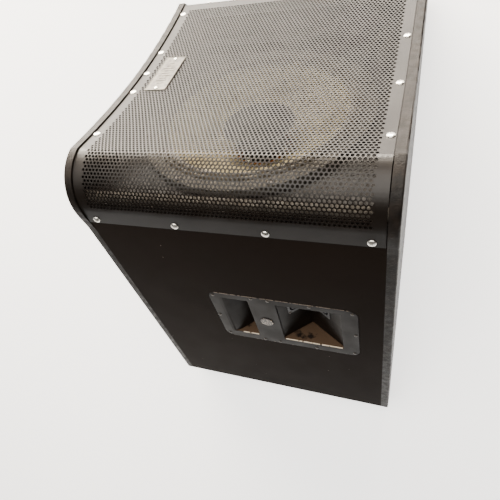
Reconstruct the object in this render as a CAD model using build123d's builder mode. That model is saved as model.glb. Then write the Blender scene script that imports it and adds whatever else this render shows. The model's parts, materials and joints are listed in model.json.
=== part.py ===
"""Stage monitor wedge: plywood cabinet, wrapped steel grille, 15 inch coaxial driver.

Frame: origin at the middle of the footprint, on the floor, +Z up.
The grille slopes down towards -Y, the rear panel with its carrying handle looks to +Y.

The cabinet is drawn in its own "bench" directions, fixed to the rear panel:
  bench x  across the cabinet
  bench y  into the cabinet, square to the rear panel's outer face
  bench z  up the rear panel, towards the grille
Lengths are millimetres.
"""
from build123d import *
from math import atan2, cos, hypot, pi, radians, sin, sqrt, tan
import os

os.makedirs("parts", exist_ok=True)

# ---------------------------------------------------------------- driving sizes
WIDTH = 500.0               # over the two cheeks
BOARD = 15.0                # birch plywood of the shell
BAFFLE_BOARD = 18.0         # thicker plywood that carries the driver
PANEL_HEIGHT = 554.0        # rear panel, from its lower corner to the grille's lower edge
GRILLE_REACH = 522.0        # from the rear panel's face to the grille's far bend
GRILLE_FAR_RISE = 119.0     # height of the far bend above the grille's lower edge
GRILLE_TO_FLOOR = 51.4      # angle between the grille and the floor, degrees
HEEL_HEIGHT = 50.0          # short upright face under the rear panel
CHEEK_EDGE_R = 3.0          # rounding of the cheeks' outer edges

SHEET = 1.5                 # steel of the grille
NOSE_R = 77.0               # outer radius of the grille's rounded nose
NOSE_START = 25.0           # flat lap on the rear panel below the nose
CREASE_INTO = 60.0          # depth at which the nose meets the hollow sloping part
DISH_INTO = 230.0           # depth of the lowest point of the sloping part
DISH_RISE = 92.0            # height of that lowest point
REVEAL = 2.5                # the cheeks stand proud of the grille by this much
SIDE_GAP = 1.5              # slot between grille and cheek
GRILLE_FLANGE = 18.0        # lip bent down over the toe panel

BAFFLE_RISE = 24.0          # back face of the baffle above the grille's lower edge
DRIVER_INTO = 228.0         # driver axis, from the rear panel's face
DRIVER_HOLE_R = 179.0

FRAME_R = 196.0             # driver frame, outside
FRAME_LEDGE_R = 176.0       # inside of its front ring
CONE_R = 158.0              # outer edge of the cone
COIL_R = 50.0               # outside of the voice coil former (100 mm coil)
FORMER_WALL = 0.4
WINDING = 1.0               # copper on the former
GAP_CLEARANCE = 1.3         # air on each side of the coil
FRAME_DEPTH = 88.0          # front ring to rear ring
TOP_PLATE = 8.0
MAGNET = 24.0
MAGNET_R = 110.0
BACK_PLATE = 8.0

PLATE_LEFT = -75.0          # handle plate on the rear panel
PLATE_RIGHT = 194.0
PLATE_TOP = -169.0
PLATE_BOTTOM = -325.0
PLATE_SHEET = 3.0
PLATE_CORNER_R = 18.0
PLATE_GAP = 1.0             # groove round the plate
POCKET_TOP = -184.0
POCKET_BOTTOM = -304.0
GRIP_LEFT = -58.0           # hand grip pocket
GRIP_RIGHT = 0.0
GRIP_DEPTH = 52.0
GRIP_UNDERCUT = 24.0        # room for the fingers behind the bar
GRIP_ROLL_R = 31.0          # the plate's face rolls into the pocket's sloping wall
GRIP_SLOPE = radians(45)
BAR_THICK = 14.0
DISH_LEFT = 52.0            # connector pocket, V-shaped in plan
DISH_APEX = 98.0
DISH_RIGHT = 165.0
DISH_DEPTH = 46.0
SOCKET_R = 12.0
SOCKET_FLANGE_W = 26.0
SOCKET_FLANGE_H = 31.0

FOOT_HEIGHT = 10.0
FOOT_R = 19.0
FOOT_X = 190.0              # from the centre line
FOOT_INSET = 70.0           # from the heel and from the toe
FOOT_RECESS_R = 8.0
FOOT_RECESS = 6.0
FOOT_SCREW_R = 2.2
FOOT_SCREW_LENGTH = 16.0
FOOT_SCREW_HEAD_R = 5.0
FOOT_SCREW_HEAD = 3.0

# ---------------------------------------------------------------- frame
TILT = radians(GRILLE_TO_FLOOR)
UP = Vector(0, -sin(TILT), cos(TILT))         # plumb up, in bench directions
FORE = Vector(0, cos(TILT), sin(TILT))        # level, from heel to toe, in bench directions
HEEL_TOP = Vector(0, 0, -PANEL_HEIGHT)
HEEL_FLOOR = HEEL_TOP - UP * HEEL_HEIGHT


def from_floor(along, above):
    """Bench point at a level distance from the heel and a plumb height over the cabinet's base."""
    return HEEL_FLOOR + FORE * along + UP * above


def along_of(point):
    """Level distance of a bench point from the heel."""
    return (point - HEEL_FLOOR).dot(FORE)


def above_of(point):
    """Plumb height of a bench point over the cabinet's base."""
    return (point - HEEL_FLOOR).dot(UP)


def yz(point):
    """The two coordinates that a side profile uses."""
    return (point.Y, point.Z)


FAR_BEND = Vector(0, GRILLE_REACH, GRILLE_FAR_RISE)
TOE_FACE = along_of(FAR_BEND) - SHEET         # toe panel's outer face, under the grille's lip
TOE_TOP = FAR_BEND + (FORE + UP * 0.6) * REVEAL
BASE_LENGTH = along_of(TOE_TOP)

# The bench origin (grille's lower edge on the rear face) seen from the part's origin
bench_lift = FOOT_HEIGHT + above_of(Vector(0, 0, 0))
bench_back = BASE_LENGTH / 2 - along_of(Vector(0, 0, 0))
bench = Plane(
    origin=(0, bench_back, bench_lift),
    x_dir=(-1, 0, 0),
    z_dir=(0, -sin(TILT), cos(TILT)),
)


def facing_grille(x, y, z):
    """Plane at a bench point: drawn across and into the cabinet, normal towards the grille."""
    return Plane(origin=bench.from_local_coords((x, y, z)), x_dir=bench.x_dir, z_dir=bench.z_dir)


def facing_rear(x, y, z):
    """Plane at a bench point: drawn across and up the panel, normal out of the rear panel."""
    return Plane(origin=bench.from_local_coords((x, y, z)), x_dir=bench.x_dir, z_dir=-bench.y_dir)


def side_on(x):
    """Plane of a side profile: drawn into the cabinet and up the panel, normal across."""
    return Plane(origin=bench.from_local_coords((x, 0, 0)), x_dir=bench.y_dir, z_dir=bench.x_dir)


def on_base(x, along, above):
    """Plane parallel to the floor: drawn across and towards the toe, normal plumb up."""
    origin = bench.from_local_coords(tuple(from_floor(along, above) + Vector(x, 0, 0)))
    return Plane(origin=origin, x_dir=bench.x_dir, z_dir=(0, 0, 1))


INNER = WIDTH / 2 - BOARD                     # half width between the cheeks
BAFFLE_FRONT = BAFFLE_RISE + BAFFLE_BOARD
NOSE_CENTRE = Vector(0, NOSE_R - SHEET, NOSE_START)


def on_nose(radius, into):
    """Point of the rounded nose at a given depth."""
    return Vector(0, into, NOSE_CENTRE.Z + sqrt(radius**2 - (NOSE_CENTRE.Y - into) ** 2))


def dish(drop):
    """Crease, lowest point and far bend of the sloping part, on a surface `drop` under its face."""
    crease = on_nose(NOSE_R - drop, CREASE_INTO)
    low = Vector(0, DISH_INTO, DISH_RISE - drop)
    far = FAR_BEND - FORE * drop * 0.6 - UP * drop * 0.9
    return crease, low, far


def nose_turn(radius):
    """Half-way point of the nose between its start and the crease."""
    end = on_nose(radius, CREASE_INTO)
    turn = (pi + atan2(end.Z - NOSE_CENTRE.Z, end.Y - NOSE_CENTRE.Y)) / 2
    return NOSE_CENTRE + Vector(0, cos(turn), sin(turn)) * radius


def circle_through(a, b, c):
    """Centre and radius of the circle through three points of a side profile."""
    d = 2 * (a.Y * (b.Z - c.Z) + b.Y * (c.Z - a.Z) + c.Y * (a.Z - b.Z))
    aa, bb, cc = a.Y**2 + a.Z**2, b.Y**2 + b.Z**2, c.Y**2 + c.Z**2
    centre_y = (aa * (b.Z - c.Z) + bb * (c.Z - a.Z) + cc * (a.Z - b.Z)) / d
    centre_z = (aa * (c.Y - b.Y) + bb * (a.Y - c.Y) + cc * (b.Y - a.Y)) / d
    return centre_y, centre_z, hypot(a.Y - centre_y, a.Z - centre_z)


DISH_Y, DISH_Z, DISH_R = circle_through(*dish(0))


def on_dish(x, into):
    """Plane touching the sloping part of the grille, normal out of it."""
    lean = (DISH_Y - into) / DISH_R
    rise = sqrt(1 - lean**2)
    spot = facing_grille(x, into, DISH_Z - DISH_R * rise)
    normal = bench.y_dir * lean + bench.z_dir * rise
    return Plane(origin=spot.origin, x_dir=bench.x_dir, z_dir=normal)


# ---------------------------------------------------------------- screw places
GRILLE_HALF = INNER - SIDE_GAP
SCREW_HEAD_R = 6.0
SCREW_HEAD = 2.6
SCREW_DOME = 1.82                             # rounding of the heads
SCREW_SHANK_R = 2.0
SCREW_LENGTH = 16.0
DRILL_CLEAR = 0.15
HEAD_CLEAR = 0.02                             # flat heads on the hollow sheet
STRIP_SCREW_RISE = 8.0                        # row across the rear lap
STRIP_SCREW_PITCH = 144.0
SIDE_SCREW_INSET = 7.0                        # from the grille's side edge
SIDE_SCREW_FIRST = 103.0
SIDE_SCREW_PITCH = 128.0
EXTRA_SCREW_INTO = 290.0                      # one more beside the badge
LIP_SCREW_X = 180.0

strip_spots = [
    facing_rear((i - 1.5) * STRIP_SCREW_PITCH, -SHEET, STRIP_SCREW_RISE) for i in range(4)
]
side_x = GRILLE_HALF - SIDE_SCREW_INSET
side_spots = [
    on_dish(x, SIDE_SCREW_FIRST + i * SIDE_SCREW_PITCH) for x in (-side_x, side_x) for i in range(4)
]
side_spots.append(on_dish(-side_x, EXTRA_SCREW_INTO))
side_spots = [spot.offset(HEAD_CLEAR) for spot in side_spots]
lip_middle = dish(0)[2] - UP * (GRILLE_FLANGE / 2)
lip_spots = [
    Plane(
        origin=bench.from_local_coords((x, lip_middle.Y, lip_middle.Z)),
        x_dir=bench.x_dir,
        z_dir=(0, -1, 0),
    )
    for x in (-LIP_SCREW_X, 0, LIP_SCREW_X)
]


def drill(spots, radius, depth):
    """Round holes into the piece being made, from each spot inwards."""
    for spot in spots:
        with BuildSketch(spot) as hole:
            Circle(radius)
        extrude(hole.sketch, amount=-depth, mode=Mode.SUBTRACT)


def screws(spots, head_r, head, shank_r, length, dome):
    """Group of screws: a rounded head on each spot and a plain shank below it."""
    with BuildPart() as group:
        for spot in spots:
            with BuildSketch(spot):
                Circle(head_r)
            extrude(amount=head)
            fillet(group.edges(Select.LAST).sort_by(Axis(spot.origin, spot.z_dir))[-1], dome)
            with BuildSketch(spot):
                Circle(shank_r)
            extrude(amount=-length)
    return group


foot_places = [
    (x, along) for x in (-FOOT_X, FOOT_X) for along in (FOOT_INSET, BASE_LENGTH - FOOT_INSET)
]
foot_spots = [
    Plane(origin=on_base(x, along, 0).origin, x_dir=(1, 0, 0), z_dir=(0, 0, -1))
    for x, along in foot_places
]

FRAME_SCREW_COUNT = 8
FRAME_SCREW_PCR = 189.5
FRAME_FLANGE = 8.0                            # front ring of the driver frame
RIM = 1.0                                     # flat rim of the surround, on the front ring
GASKET = 4.0
FRAME_SCREW_LENGTH = 26.0
gasket_top = FRAME_FLANGE + GASKET
frame_spots = [
    facing_grille(
        FRAME_SCREW_PCR * cos(pi / FRAME_SCREW_COUNT * (2 * i + 1)),
        DRIVER_INTO + FRAME_SCREW_PCR * sin(pi / FRAME_SCREW_COUNT * (2 * i + 1)),
        BAFFLE_FRONT + gasket_top,
    )
    for i in range(FRAME_SCREW_COUNT)
]

BOARD_X = -120.0                              # crossover board, on the floor panel
BOARD_ALONG = 400.0
BOARD_W = 150.0
BOARD_D = 110.0
BOARD_SHEET = 1.6
BOARD_STANDOFF = 12.0
BOARD_HOLE_INSET = 6.0
BOARD_SCREW_R = 1.6
BOARD_SCREW_HEAD_R = 3.2
BOARD_SCREW_HEAD = 2.0
BOARD_SCREW_DOME = 1.2
BOARD_SCREW_LENGTH = BOARD_SHEET + BOARD_STANDOFF + 10.0
board_top = BOARD + BOARD_STANDOFF + BOARD_SHEET
board_spots = [
    on_base(
        BOARD_X + i * (BOARD_W / 2 - BOARD_HOLE_INSET),
        BOARD_ALONG + j * (BOARD_D / 2 - BOARD_HOLE_INSET),
        board_top,
    )
    for i in (-1, 1)
    for j in (-1, 1)
]

PLATE_SCREW_EDGE = 5.0
PLATE_CORNER_INSET = 9.0
PLATE_SCREW_R = 1.6
PLATE_SCREW_LENGTH = 13.0
plate_row = (GRIP_RIGHT + 9.0, DISH_LEFT - 12.0, (DISH_LEFT + DISH_RIGHT) / 2 + 5.0)
plate_spots = [
    facing_rear(x, 0, z)
    for x in plate_row
    for z in (PLATE_TOP - PLATE_SCREW_EDGE, PLATE_BOTTOM + PLATE_SCREW_EDGE)
]
plate_spots += [
    facing_rear(x, 0, z)
    for x in (PLATE_LEFT + PLATE_CORNER_INSET, PLATE_RIGHT - PLATE_CORNER_INSET)
    for z in (PLATE_TOP - PLATE_CORNER_INSET, PLATE_BOTTOM + PLATE_CORNER_INSET)
]
plate_spots += [
    facing_rear(x, 0, (PLATE_TOP + PLATE_BOTTOM) / 2)
    for x in (PLATE_LEFT + PLATE_SCREW_EDGE, PLATE_RIGHT - PLATE_SCREW_EDGE)
]

# ---------------------------------------------------------------- cabinet shell
def cheek(x_inner, side):
    """Side board. Its front edge follows the grille and stands proud of it."""
    rim = NOSE_R + REVEAL
    crease, low, far = dish(-REVEAL)
    with BuildPart() as board:
        with BuildSketch(side_on(x_inner)):
            with BuildLine():
                Line(yz(from_floor(BASE_LENGTH, 0)), yz(HEEL_FLOOR))
                Line(yz(HEEL_FLOOR), yz(HEEL_TOP))
                Line(yz(HEEL_TOP), (0, -NOSE_START))
                Spline(
                    (0, -NOSE_START),
                    (NOSE_CENTRE.Y - rim, NOSE_START),
                    tangents=[(0, 1), (0, 1)],
                )
                ThreePointArc((NOSE_CENTRE.Y - rim, NOSE_START), yz(nose_turn(rim)), yz(crease))
                ThreePointArc(yz(crease), yz(low), yz(TOE_TOP))
                Line(yz(TOE_TOP), yz(from_floor(BASE_LENGTH, 0)))
            make_face()
        extrude(amount=side * BOARD)
        outer_face = board.faces().filter_by(Axis.X).sort_by(Axis.X)[0 if side > 0 else -1]
        fillet(outer_face.edges(), CHEEK_EDGE_R)
    return board


def board_across(points, half_width=INNER):
    """Board with a straight-sided side profile, running from cheek to cheek."""
    with BuildPart() as board:
        with BuildSketch(side_on(0)):
            with BuildLine():
                Polyline(*[yz(point) for point in points], close=True)
            make_face()
        extrude(amount=half_width, both=True)
    return board


left_cheek = cheek(-INNER, -1)
left_cheek.part.label = "left_cheek"
export_step(left_cheek.part, "parts/left_cheek.step")

right_cheek = cheek(INNER, 1)
right_cheek.part.label = "right_cheek"
export_step(right_cheek.part, "parts/right_cheek.step")

# The rear and heel panels meet on a mitre, BOARD deep in both
mitre = Vector(0, BOARD, -PANEL_HEIGHT + (BOARD - BOARD * FORE.Y) / FORE.Z)

PLATE_X = (PLATE_LEFT + PLATE_RIGHT) / 2
PLATE_Z = (PLATE_TOP + PLATE_BOTTOM) / 2
PLATE_W = PLATE_RIGHT - PLATE_LEFT
PLATE_H = PLATE_TOP - PLATE_BOTTOM
CUP_WALL = 3.0
CUP_CLEAR = 1.0
WINDOW_LEFT = GRIP_LEFT - CUP_WALL - CUP_CLEAR
WINDOW_RIGHT = DISH_RIGHT + CUP_WALL + CUP_CLEAR
WINDOW_TOP = POCKET_TOP + CUP_WALL + CUP_CLEAR
WINDOW_BOTTOM = POCKET_BOTTOM - CUP_WALL - CUP_CLEAR
REBATE = PLATE_SHEET + 1.0                    # plate plus its gasket

with BuildPart() as rear_panel:
    with BuildSketch(side_on(0)):
        with BuildLine():
            Polyline((0, BAFFLE_RISE), (BOARD, BAFFLE_RISE), yz(mitre), yz(HEEL_TOP), close=True)
        make_face()
    extrude(amount=INNER, both=True)
    with BuildSketch(facing_rear(PLATE_X, 0, PLATE_Z)):
        RectangleRounded(PLATE_W + 2 * PLATE_GAP, PLATE_H + 2 * PLATE_GAP, PLATE_CORNER_R + PLATE_GAP)
    extrude(amount=-REBATE, mode=Mode.SUBTRACT)
    window_x = (WINDOW_LEFT + WINDOW_RIGHT) / 2
    window_z = (WINDOW_TOP + WINDOW_BOTTOM) / 2
    with BuildSketch(facing_rear(window_x, 0, window_z)):
        Rectangle(WINDOW_RIGHT - WINDOW_LEFT, WINDOW_TOP - WINDOW_BOTTOM)
    extrude(amount=-BOARD, mode=Mode.SUBTRACT)
    drill(strip_spots, SCREW_SHANK_R + DRILL_CLEAR, SCREW_LENGTH + DRILL_CLEAR)
    drill(plate_spots, PLATE_SCREW_R + DRILL_CLEAR, PLATE_SCREW_LENGTH + DRILL_CLEAR)
rear_panel.part.label = "rear_panel"
export_step(rear_panel.part, "parts/rear_panel.step")

heel_panel = board_across([HEEL_TOP, from_floor(0, BOARD), from_floor(BOARD, BOARD), mitre])
heel_panel.part.label = "heel_panel"
export_step(heel_panel.part, "parts/heel_panel.step")

base_run = [HEEL_FLOOR, from_floor(TOE_FACE, 0), from_floor(TOE_FACE, BOARD), from_floor(0, BOARD)]
with BuildPart() as floor_panel:
    with BuildSketch(side_on(0)):
        with BuildLine():
            Polyline(*[yz(point) for point in base_run], close=True)
        make_face()
    extrude(amount=INNER, both=True)
    drill(foot_spots, FOOT_SCREW_R + DRILL_CLEAR, FOOT_SCREW_LENGTH)
    drill(board_spots, BOARD_SCREW_R + DRILL_CLEAR, BOARD_SCREW_LENGTH + DRILL_CLEAR)
floor_panel.part.label = "floor_panel"
export_step(floor_panel.part, "parts/floor_panel.step")

# Sheet's underside at the far bend, and its slope there
under_far = dish(SHEET)[2]
far_turn = 2 * atan2(GRILLE_FAR_RISE - DISH_RISE, GRILLE_REACH - DISH_INTO)
sheet_run = Vector(0, cos(far_turn), sin(far_turn))
TOE_CLEAR = 0.4
toe_top_front = above_of(under_far) - TOE_CLEAR
toe_top_back = toe_top_front - sheet_run.dot(UP) / sheet_run.dot(FORE) * BOARD
toe_corner = from_floor(TOE_FACE - BOARD, BOARD)      # inside, where it stands on the floor panel
toe_run = [
    from_floor(TOE_FACE, BOARD),
    from_floor(TOE_FACE, toe_top_front),
    from_floor(TOE_FACE - BOARD, toe_top_back),
    toe_corner,
]
with BuildPart() as toe_panel:
    with BuildSketch(side_on(0)):
        with BuildLine():
            Polyline(*[yz(point) for point in toe_run], close=True)
        make_face()
    extrude(amount=INNER, both=True)
    drill(lip_spots, SCREW_SHANK_R + DRILL_CLEAR, SCREW_LENGTH)
toe_panel.part.label = "toe_panel"
export_step(toe_panel.part, "parts/toe_panel.step")


def inside_at(z):
    """Depth of the shell's inside at a bench height: the floor panel, or the toe panel if nearer."""
    start = from_floor(0, BOARD)
    on_floor = start.Y + (z - start.Z) * FORE.Y / FORE.Z
    on_toe = toe_corner.Y + (z - toe_corner.Z) * UP.Y / UP.Z
    return min(on_floor, on_toe)


BAFFLE_SETBACK = 3.0                          # baffle's front edge behind the rear panel's face
PORT_NEAR = 452.0                             # slot ports beyond the driver
PORT_FAR = 484.0
PORT_INNER_X = 12.0
PORT_OUTER_X = 190.0
PORT_CORNER_R = 12.0
with BuildPart() as baffle:
    with BuildSketch(side_on(0)):
        with BuildLine():
            Polyline(
                (BAFFLE_SETBACK, BAFFLE_RISE),
                (BAFFLE_SETBACK, BAFFLE_FRONT),
                (inside_at(BAFFLE_FRONT), BAFFLE_FRONT),
                (inside_at(BAFFLE_RISE), BAFFLE_RISE),
                close=True,
            )
        make_face()
    extrude(amount=INNER, both=True)
    with BuildSketch(facing_grille(0, DRIVER_INTO, BAFFLE_RISE)):
        Circle(DRIVER_HOLE_R)
    extrude(amount=BAFFLE_BOARD, mode=Mode.SUBTRACT)
    port_x = (PORT_INNER_X + PORT_OUTER_X) / 2
    with BuildSketch(facing_grille(0, (PORT_NEAR + PORT_FAR) / 2, BAFFLE_RISE)):
        with Locations((-port_x, 0), (port_x, 0)):
            RectangleRounded(PORT_OUTER_X - PORT_INNER_X, PORT_FAR - PORT_NEAR, PORT_CORNER_R)
    extrude(amount=BAFFLE_BOARD, mode=Mode.SUBTRACT)
    drill(frame_spots, SCREW_SHANK_R + DRILL_CLEAR, FRAME_SCREW_LENGTH + DRILL_CLEAR)
baffle.part.label = "baffle"
export_step(baffle.part, "parts/baffle.step")

# Low rail on the baffle's near edge, close behind the nose of the grille
RAIL_HEIGHT = 8.0
RAIL_R = 6.0
RAIL_CLEAR = 1.8                              # air between the rail and the sheet
RAIL_WIDTH = 17.0                             # stops short of the driver
rail_lift = BAFFLE_FRONT + RAIL_HEIGHT - NOSE_START
RAIL_NEAR = NOSE_CENTRE.Y - sqrt((NOSE_R - SHEET) ** 2 - rail_lift**2) + RAIL_CLEAR
RAIL_FAR = RAIL_NEAR + RAIL_WIDTH
with BuildPart() as nose_rail:
    with BuildSketch(side_on(0)):
        with BuildLine():
            Polyline(
                (RAIL_NEAR, BAFFLE_FRONT + RAIL_HEIGHT - RAIL_R),
                (RAIL_NEAR, BAFFLE_FRONT),
                (RAIL_FAR, BAFFLE_FRONT),
                (RAIL_FAR, BAFFLE_FRONT + RAIL_HEIGHT),
                (RAIL_NEAR + RAIL_R, BAFFLE_FRONT + RAIL_HEIGHT),
            )
            RadiusArc(
                (RAIL_NEAR + RAIL_R, BAFFLE_FRONT + RAIL_HEIGHT),
                (RAIL_NEAR, BAFFLE_FRONT + RAIL_HEIGHT - RAIL_R),
                -RAIL_R,
            )
        make_face()
    extrude(amount=INNER, both=True)
nose_rail.part.label = "nose_rail"
export_step(nose_rail.part, "parts/nose_rail.step")

# Battens along the cheeks that take the grille's side screws
BATTEN_W = 20.0
BATTEN_CLEAR = 0.4
crease_b, low_b, _ = dish(SHEET + BATTEN_CLEAR)
batten_end = from_floor(TOE_FACE - BOARD, toe_top_back - BATTEN_CLEAR)
batten_foot = [yz(batten_end)]
if toe_corner.Z > BAFFLE_FRONT:
    batten_foot.append(yz(toe_corner))
batten_foot.append((inside_at(BAFFLE_FRONT), BAFFLE_FRONT))
batten_foot.append((CREASE_INTO, BAFFLE_FRONT))
batten_foot.append(yz(crease_b))
with BuildPart() as grille_battens:
    for x_start in (-INNER, INNER - BATTEN_W):
        with BuildSketch(side_on(x_start)):
            with BuildLine():
                ThreePointArc(yz(crease_b), yz(low_b), yz(batten_end))
                Polyline(*batten_foot)
            make_face()
        extrude(amount=BATTEN_W)
    drill(side_spots, SCREW_SHANK_R + DRILL_CLEAR, SCREW_LENGTH + DRILL_CLEAR)
grille_battens.part.label = "grille_battens"
export_step(grille_battens.part, "parts/grille_battens.step")

# Port duct: a shelf under the driver side of the slots and a divider on the centre line
SHELF_BOARD = 12.0
SHELF_NEAR = 430.0
SHELF_DEPTH = 49.0
shelf_far = SHELF_NEAR + SHELF_BOARD
port_shelf = board_across(
    [
        Vector(0, SHELF_NEAR, BAFFLE_RISE),
        Vector(0, shelf_far, BAFFLE_RISE),
        Vector(0, shelf_far, BAFFLE_RISE - SHELF_DEPTH),
        Vector(0, SHELF_NEAR, BAFFLE_RISE - SHELF_DEPTH),
    ]
)
port_shelf.part.label = "port_shelf"
export_step(port_shelf.part, "parts/port_shelf.step")

divider_low = BAFFLE_RISE - SHELF_DEPTH
port_divider = board_across(
    [
        Vector(0, shelf_far, BAFFLE_RISE),
        Vector(0, inside_at(BAFFLE_RISE), BAFFLE_RISE),
        Vector(0, inside_at(divider_low), divider_low),
        Vector(0, shelf_far, divider_low),
    ],
    half_width=SHELF_BOARD / 2,
)
port_divider.part.label = "port_divider"
export_step(port_divider.part, "parts/port_divider.step")

# Brace from the rear panel to the floor panel, below the handle
BRACE_TOP = -340.0
BRACE_HEIGHT = 55.0
brace_low = BRACE_TOP - BRACE_HEIGHT
brace = board_across(
    [
        Vector(0, BOARD, BRACE_TOP),
        Vector(0, inside_at(BRACE_TOP), BRACE_TOP),
        Vector(0, inside_at(brace_low), brace_low),
        Vector(0, BOARD, brace_low),
    ],
    half_width=BAFFLE_BOARD / 2,
)
brace.part.label = "brace"
export_step(brace.part, "parts/brace.step")

# Three-cornered glue blocks in the joints of the shell
BLOCK = 18.0
block_runs = (
    # rear panel to baffle
    [
        Vector(0, BOARD, BAFFLE_RISE),
        Vector(0, BOARD + BLOCK, BAFFLE_RISE),
        Vector(0, BOARD, BAFFLE_RISE - BLOCK),
    ],
    # heel panel to floor panel
    [from_floor(BOARD, BOARD), from_floor(BOARD + BLOCK, BOARD), from_floor(BOARD, BOARD + BLOCK)],
)
with BuildPart() as glue_blocks:
    for run in block_runs:
        with BuildSketch(side_on(0)):
            with BuildLine():
                Polyline(*[yz(point) for point in run], close=True)
            make_face()
        extrude(amount=INNER, both=True)
glue_blocks.part.label = "glue_blocks"
export_step(glue_blocks.part, "parts/glue_blocks.step")

# Felt lining on the inside of both cheeks, clear of everything that is screwed in
LINING = 12.0
LINING_CLEAR = 0.5
LINING_EDGE = 4.0                             # felt held back from the boards it meets
LINING_TOP = -10.0
LINING_KNEE = -60.0
LINING_LOW = PLATE_BOTTOM - 90.0
lining_x = INNER - LINING_CLEAR
knee_into = min(inside_at(LINING_KNEE), shelf_far) - LINING_EDGE
lining_run = (
    (BOARD + LINING_EDGE, LINING_TOP),
    (BOARD + LINING_EDGE, LINING_LOW),
    (inside_at(LINING_LOW) - LINING_EDGE, LINING_LOW),
    (knee_into, LINING_KNEE),
    (SHELF_NEAR + LINING_TOP, LINING_TOP),
)
with BuildPart() as lining:
    for x_start in (-lining_x, lining_x - LINING):
        with BuildSketch(side_on(x_start)):
            with BuildLine():
                Polyline(*lining_run, close=True)
            make_face()
        extrude(amount=LINING)
lining.part.label = "lining"
export_step(lining.part, "parts/lining.step")

# ---------------------------------------------------------------- grille
face_crease, face_low, face_far = dish(0)
back_crease, back_low, back_far = dish(SHEET)
lip_end = -UP * GRILLE_FLANGE
with BuildPart() as grille:
    with BuildSketch(side_on(0)):
        with BuildLine():
            Line((-SHEET, 0), (-SHEET, NOSE_START))
            ThreePointArc((-SHEET, NOSE_START), yz(nose_turn(NOSE_R)), yz(face_crease))
            ThreePointArc(yz(face_crease), yz(face_low), yz(face_far))
            Line(yz(face_far), yz(face_far + lip_end))
            Line(yz(face_far + lip_end), yz(face_far + lip_end - FORE * SHEET))
            Line(yz(face_far + lip_end - FORE * SHEET), yz(back_far))
            ThreePointArc(yz(back_far), yz(back_low), yz(back_crease))
            ThreePointArc(yz(back_crease), yz(nose_turn(NOSE_R - SHEET)), (0, NOSE_START))
            Line((0, NOSE_START), (0, 0))
            Line((0, 0), (-SHEET, 0))
        make_face()
    extrude(amount=GRILLE_HALF, both=True)
    drill(strip_spots + side_spots + lip_spots, SCREW_SHANK_R + DRILL_CLEAR, 2 * SHEET)
grille.part.label = "grille"
export_step(grille.part, "parts/grille.step")

grille_screws = screws(
    strip_spots + side_spots + lip_spots,
    SCREW_HEAD_R,
    SCREW_HEAD,
    SCREW_SHANK_R,
    SCREW_LENGTH,
    SCREW_DOME,
)
grille_screws.part.label = "grille_screws"
export_step(grille_screws.part, "parts/grille_screws.step")

# Badge on the grille, held by two rivets
BADGE_X = -184.0
BADGE_INTO = 287.0
BADGE_W = 42.0
BADGE_L = 106.0
BADGE_T = 1.5
BADGE_CORNER_R = 4.0
BADGE_BEVEL = 0.4
RIVET_R = 2.0
RIVET_HEAD_R = 3.2
RIVET_HEAD = 0.8
RIVET_DOME = 0.5
RIVET_PITCH = 92.0
BADGE_CLEAR = 1.2           # the flat badge bridges the hollow of the grille
badge_spot = on_dish(BADGE_X, BADGE_INTO).offset(BADGE_CLEAR)
rivet_spots = [
    Plane(origin=badge_spot.offset(BADGE_T).from_local_coords((0, y)), z_dir=badge_spot.z_dir)
    for y in (-RIVET_PITCH / 2, RIVET_PITCH / 2)
]
with BuildPart() as badge:
    with BuildSketch(badge_spot):
        RectangleRounded(BADGE_W, BADGE_L, BADGE_CORNER_R)
    extrude(amount=BADGE_T)
    badge_face = badge.faces().sort_by(Axis(badge_spot.origin, badge_spot.z_dir))[-1]
    chamfer(badge_face.edges(), BADGE_BEVEL)
    drill(rivet_spots, RIVET_R + DRILL_CLEAR, BADGE_T)
badge.part.label = "badge"
export_step(badge.part, "parts/badge.step")

badge_rivets = screws(rivet_spots, RIVET_HEAD_R, RIVET_HEAD, RIVET_R, BADGE_T, RIVET_DOME)
badge_rivets.part.label = "badge_rivets"
export_step(badge_rivets.part, "parts/badge_rivets.step")

# ---------------------------------------------------------------- handle and connector plate
POCKET_H = POCKET_TOP - POCKET_BOTTOM
SOCKET_DROP = 34.0                            # socket centres below the pocket's top
SOCKET_FLANGE = 2.0
SOCKET_CORNER_R = 2.5
SOCKET_DEPTH = 24.0
SOCKET_BORE_R = 9.5
SOCKET_POST_R = 5.5
LIP = 4.0                                     # straight lip at the pockets' mouths
LIP_R = 1.2                                   # rounding of their edges


def pocket_wall(start, end):
    """Plane on a wall of the connector pocket, normal into the pocket, at socket height."""
    run = (end - start).normalized()
    middle = (start + end) / 2
    normal = Vector(run.Y, -run.X, 0)
    return Plane(
        origin=bench.from_local_coords((middle.X, middle.Y, POCKET_TOP - SOCKET_DROP)),
        x_dir=bench.x_dir * run.X + bench.y_dir * run.Y,
        z_dir=bench.x_dir * normal.X + bench.y_dir * normal.Y,
    )


dish_points = (Vector(DISH_LEFT, LIP), Vector(DISH_APEX, DISH_DEPTH), Vector(DISH_RIGHT, LIP))
socket_spots = [pocket_wall(dish_points[0], dish_points[1]), pocket_wall(dish_points[1], dish_points[2])]

SOCKET_SCREW_R = 1.5
SOCKET_SCREW_LENGTH = 8.0
SOCKET_SCREW_HEAD_R = 2.8
SOCKET_SCREW_INSET = 3.2                      # from the flange's edges
SMALL_HEAD = 1.2                              # heads of the plate's and the sockets' screws
SMALL_DOME = 0.8


def screw_pair(spot):
    """The two screw places in opposite corners of a socket flange."""
    reach_x = SOCKET_FLANGE_W / 2 - SOCKET_SCREW_INSET
    reach_y = SOCKET_FLANGE_H / 2 - SOCKET_SCREW_INSET
    face = spot.offset(SOCKET_FLANGE)
    return [
        Plane(origin=face.from_local_coords((i * reach_x, i * reach_y)), z_dir=spot.z_dir)
        for i in (-1, 1)
    ]


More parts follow.
